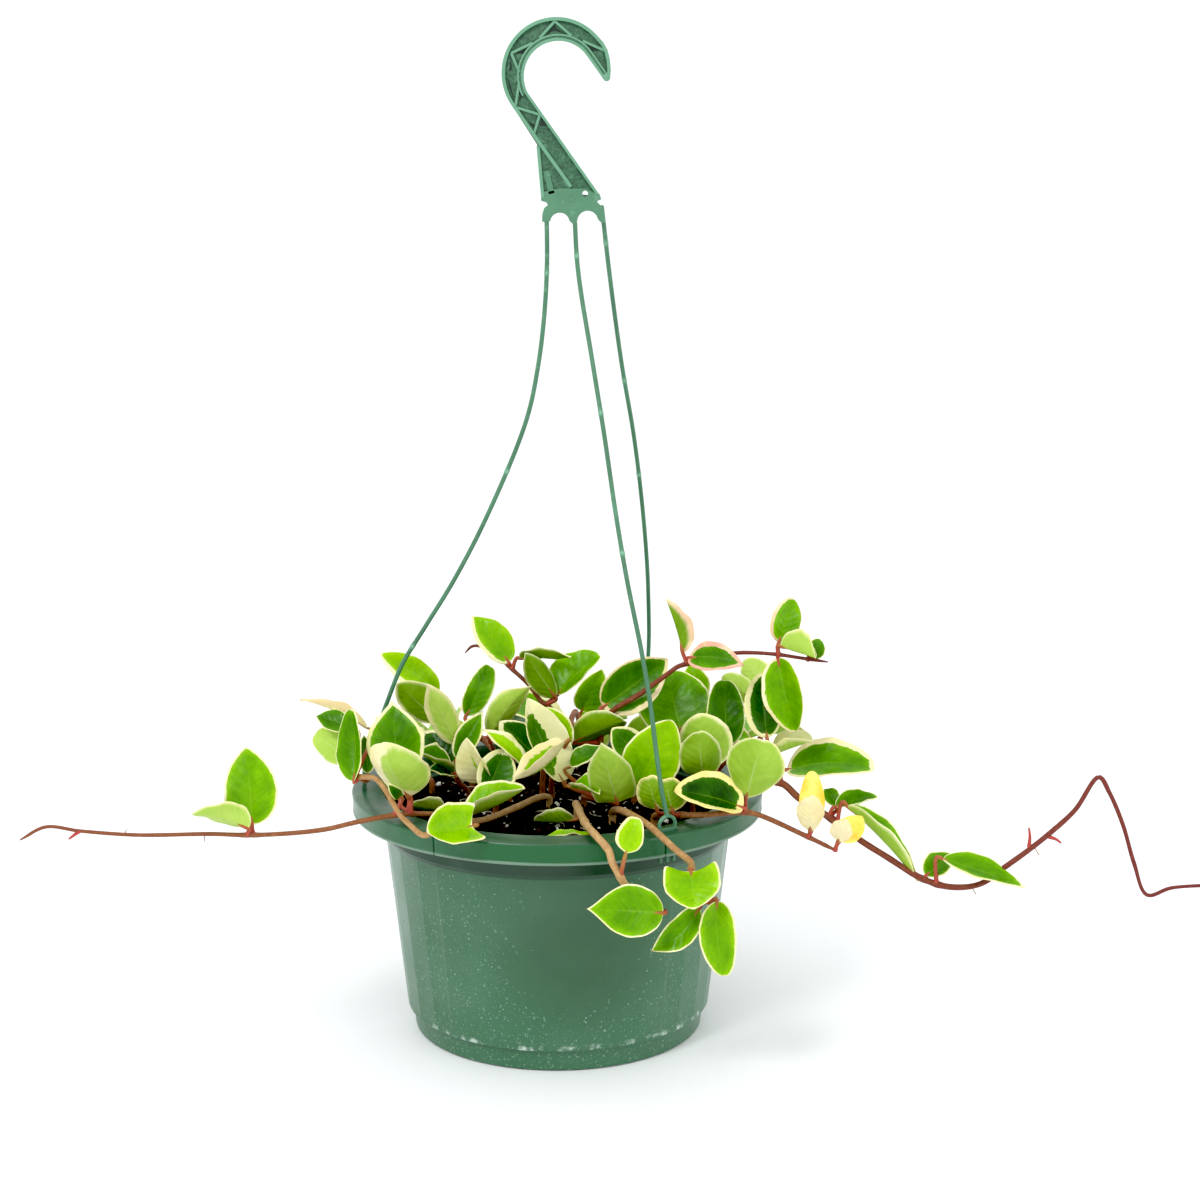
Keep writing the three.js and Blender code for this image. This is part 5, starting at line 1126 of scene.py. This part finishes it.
BACK_VINES = [
    ("back_a", (-30, 52), [[-38, 66, 125], [-52, 86, 127], [-64, 106, 114], [-68, 112, 84]]),
    ("back_b", (4, 64), [[5, 82, 130], [8, 106, 132], [10, 122, 114], [9, 126, 86], [8, 121, 52]]),
    ("back_c", (52, 44), [[64, 56, 128], [80, 74, 132], [94, 90, 116], [97, 96, 86]]),
    ("back_d", (-64, 22), [[-74, 28, 122], [-92, 36, 125]]),
    ("back_e", (26, 26), [[28, 30, 134], [30, 30, 150], [40, 26, 158]]),
]
FIRST_JOINT, JOINT_PITCH, OUTWARD_RISE, BACK_STALK = 36.0, 46.0, 90.0, 6.0
BACK_RADIUS, BACK_TONES = (1.7, 1.0), (0.3, 0.7, 0.8)
GOLDEN = 0.618
HOLE_DEPTH = 11.0

seed = 64


def draw(low, high):
    global seed
    seed = (seed * 16807) % 2147483647
    return low + (high - low) * seed / 2147483647


def root_points(root):
    return [np.array([root[0], root[1], SOIL_CROWN - share * HOLE_DEPTH]) for share in (1, 0, -0.35)]


def back_leaves(curve):
    """The ruled leaves of a vine at the back, in pairs, each pair a quarter turned."""
    shares, lengths = curve.table()
    leaves = []
    for joint, reach in enumerate(np.arange(FIRST_JOINT, lengths[-1], JOINT_PITCH)):
        share = float(np.interp(reach, lengths, shares))
        place = curve.at(share)
        along = unit(curve.at(share + 1e-4) - curve.at(share - 1e-4))
        outward = unit(np.array([place[0], place[1], OUTWARD_RISE]))
        outward = unit(outward - along * outward.dot(along))
        beside = np.cross(along, outward)
        apart, out = ((1, 0.35), (0.6, 0.8))[joint % 2]
        for side in (1, -1):
            away = unit(beside * side * apart + outward * out + along * 0.4)
            base = place + away * BACK_STALK
            tip = base + away * draw(31, 40)
            tip[2] -= 5
            leaf = Leaf(base, tip, draw(21, 26), 0, draw(10, 22), 0.06)
            leaf.top = unit(outward - leaf.along * outward.dot(leaf.along))
            leaf.sideways = np.cross(leaf.along, leaf.top)
            leaves.append(leaf)
    return leaves


def add_stem(body, curve, radius, tones, leaves, number):
    points, length = curve.spaced(1.6)
    share = np.linspace(0, 1, len(points))
    radii = radius[0] + (radius[1] - radius[0]) * share
    joints = [share[np.argmin(np.linalg.norm(points - leaf.joint, axis=1))] for leaf in leaves]
    swell = sum(np.exp(-((share - j) * length / 2.0) ** 2) for j in set(np.round(joints, 2)))
    rough = np.array([noise.noise(Vector((s * length * 0.13, number, 0.5))) for s in share])
    radii = radii * (1 + 0.22 * np.minimum(swell, 1) + 0.08 * rough)
    radii[-3:] *= (0.85, 0.65, 0.4)
    start, end, fresh = tones
    tube(body, points, radii, 14, STEM, traits=lambda share, around: {
        "place": traits_of(share * length / 60, around, 1),
        "look": traits_of(start + (end - start) * share ** 0.8, fresh, number * 0.37)})
    return points


AERIAL_ROOTS = {
    "right_runner": [(207, 92.6, -53.5, 4, 300), (238.5, 112.3, -59.3, 4, 300)],
    "left_runner": [(-176, 118.4, -88, 3, 260), (-216, 118.2, -94, 3, 80)],
}
BUDS = {"right_runner": [(236, 112, -59, 236, 121.5, -58), (246, 117, -60, 252, 114, -62)],
        "left_runner": [(-238.5, 120, -98, -244, 116, -99)]}


def add_extras(body, name, number):
    """Short hair-like roots and red bud stubs on the runners."""
    for across, up, back, length, turn in AERIAL_ROOTS.get(name, ()):
        start = seen(across, up, back)
        way = np.array([math.cos(math.radians(turn)), -0.2, math.sin(math.radians(turn))])
        bent = way + np.array([0.3, 0.3, -0.4])
        points = [start, start + way * length * 0.5, start + way * length * 0.6 + bent * length * 0.4]
        tube(body, Curve(points).spaced(0.8)[0], 0.22, 5, STEM, traits=lambda share, around: {
            "look": (0.35, 0, number)})
    for stub in BUDS.get(name, ()):
        start, end = seen(*stub[:3]), seen(*stub[3:])
        middle = (start + end) / 2 + (0.4, 0, 0.4)
        points, length = Curve([start, middle, end]).spaced(0.7)
        tube(body, points, np.linspace(1.0, 0.45, len(points)), 8, STEM, traits=lambda share, around: {
            "look": (0.5, 0.95, number), "extra": (1, 0, 0)})


def make_vines(materials):
    number = 0
    for name, root, radius, tones, stem, leaf_rows in VINES:
        curve = Curve(root_points(root) + [seen(*place) for place in stem])
        leaves = []
        for row in leaf_rows:
            number += 1
            base, tip, form, look = row[:3], row[3:6], row[6:10], row[10:15]
            special = row[15] if len(row) > 15 else {}
            leaves.append(Leaf(seen(*base), seen(*tip), *form, look, leaf_seed(number), **special))
        make_vine(name, curve, radius, tones, leaves, number, materials)
    looks = np.random.default_rng(5)
    for name, root, route in BACK_VINES:
        curve = Curve(root_points(root) + route)
        leaves = back_leaves(curve)
        for leaf in leaves:
            number += 1
            leaf.seed = leaf_seed(number)
            leaf.look = (looks.uniform(0.1, 0.75), looks.choice([0.8, 1.2, 1.8, 3.2]),
                         looks.uniform(-0.6, 0.6), looks.choice([0, 0, 0.1, 0.5]), looks.uniform(0.1, 0.7))
        make_vine(name, curve, BACK_RADIUS, BACK_TONES, leaves, number, materials)


def leaf_seed(number):
    return number * GOLDEN % 1


def make_vine(name, curve, radius, tones, leaves, number, materials):
    body = Body()
    points = add_stem(body, curve, radius, tones, leaves, number)
    for leaf in leaves:
        add_leaf(body, leaf)
        add_stalk(body, leaf, points, tones[2])
    add_extras(body, name, number)
    body.make("hoya_" + name, materials, "vine_" + name)


def make_studio():
    camera = bpy.data.cameras.new("camera")
    camera.lens, camera.sensor_width = LENS, SENSOR
    camera.clip_start, camera.clip_end = 0.02, 60
    holder = bpy.data.objects.new("camera", camera)
    holder.location = EYE * MM
    holder.rotation_euler = (math.pi / 2 - LOOK_DOWN, 0, 0)
    bpy.context.scene.collection.objects.link(holder)
    bpy.context.scene.camera = holder

    mesh = bpy.data.meshes.new("studio_floor")
    corners = ((-1, -1), (1, -1), (1, 1), (-1, 1))
    mesh.from_pydata([(x * FLOOR_REACH, y * FLOOR_REACH, FLOOR_LEVEL) for x, y in corners], [], [range(4)])
    mesh.materials.append(floor_paint())
    floor = bpy.data.objects.new("studio_floor", mesh)
    bpy.context.scene.collection.objects.link(floor)

    for name, place, aim, width, power in LIGHTS:
        lamp = bpy.data.lights.new(name, "AREA")
        lamp.shape, lamp.size, lamp.energy = "DISK", width, power
        holder = bpy.data.objects.new(name, lamp)
        holder.location = place
        holder.rotation_euler = (Vector(aim) - Vector(place)).to_track_quat("-Z", "Y").to_euler()
        bpy.context.scene.collection.objects.link(holder)

    world = bpy.data.worlds.new("studio")
    world.use_nodes = True
    sky = world.node_tree.nodes["Background"]
    sky.inputs["Color"].default_value = (0.97, 0.985, 1.0, 1)
    sky.inputs["Strength"].default_value = WORLD_STRENGTH
    bpy.context.scene.world = world
    view = bpy.context.scene.view_settings
    view.view_transform = "Standard"
    view.use_curve_mapping = True
    view.curve_mapping.black_level = [BLACK_LEVEL] * 3
    view.curve_mapping.update()


FLOOR_REACH, FLOOR_LEVEL = 30.0, -0.0004
WORLD_STRENGTH = 1.16
BLACK_LEVEL = 0.018
LIGHTS = [
    ("key", (-0.9, -1.5, 1.7), (0.0, 0.0, 0.12), 0.6, 17.0),
    ("fill", (1.5, -1.2, 0.9), (0.05, 0.0, 0.12), 0.8, 4.0),
]

make_studio()
make_basket(basket_paint())
make_soil([soil_paint(), crumb_paint("bark_crumb", (0.003, 0.002, 0.0012), (0.035, 0.020, 0.010)),
           crumb_paint("perlite", (0.50, 0.49, 0.42), (0.86, 0.85, 0.78)),
           crumb_paint("fine_root", (0.50, 0.46, 0.34), (0.78, 0.74, 0.62))])
make_hanger(hanger_paint())
make_vines([leaf_paint(), stem_paint()])

bpy.context.view_layer.update()
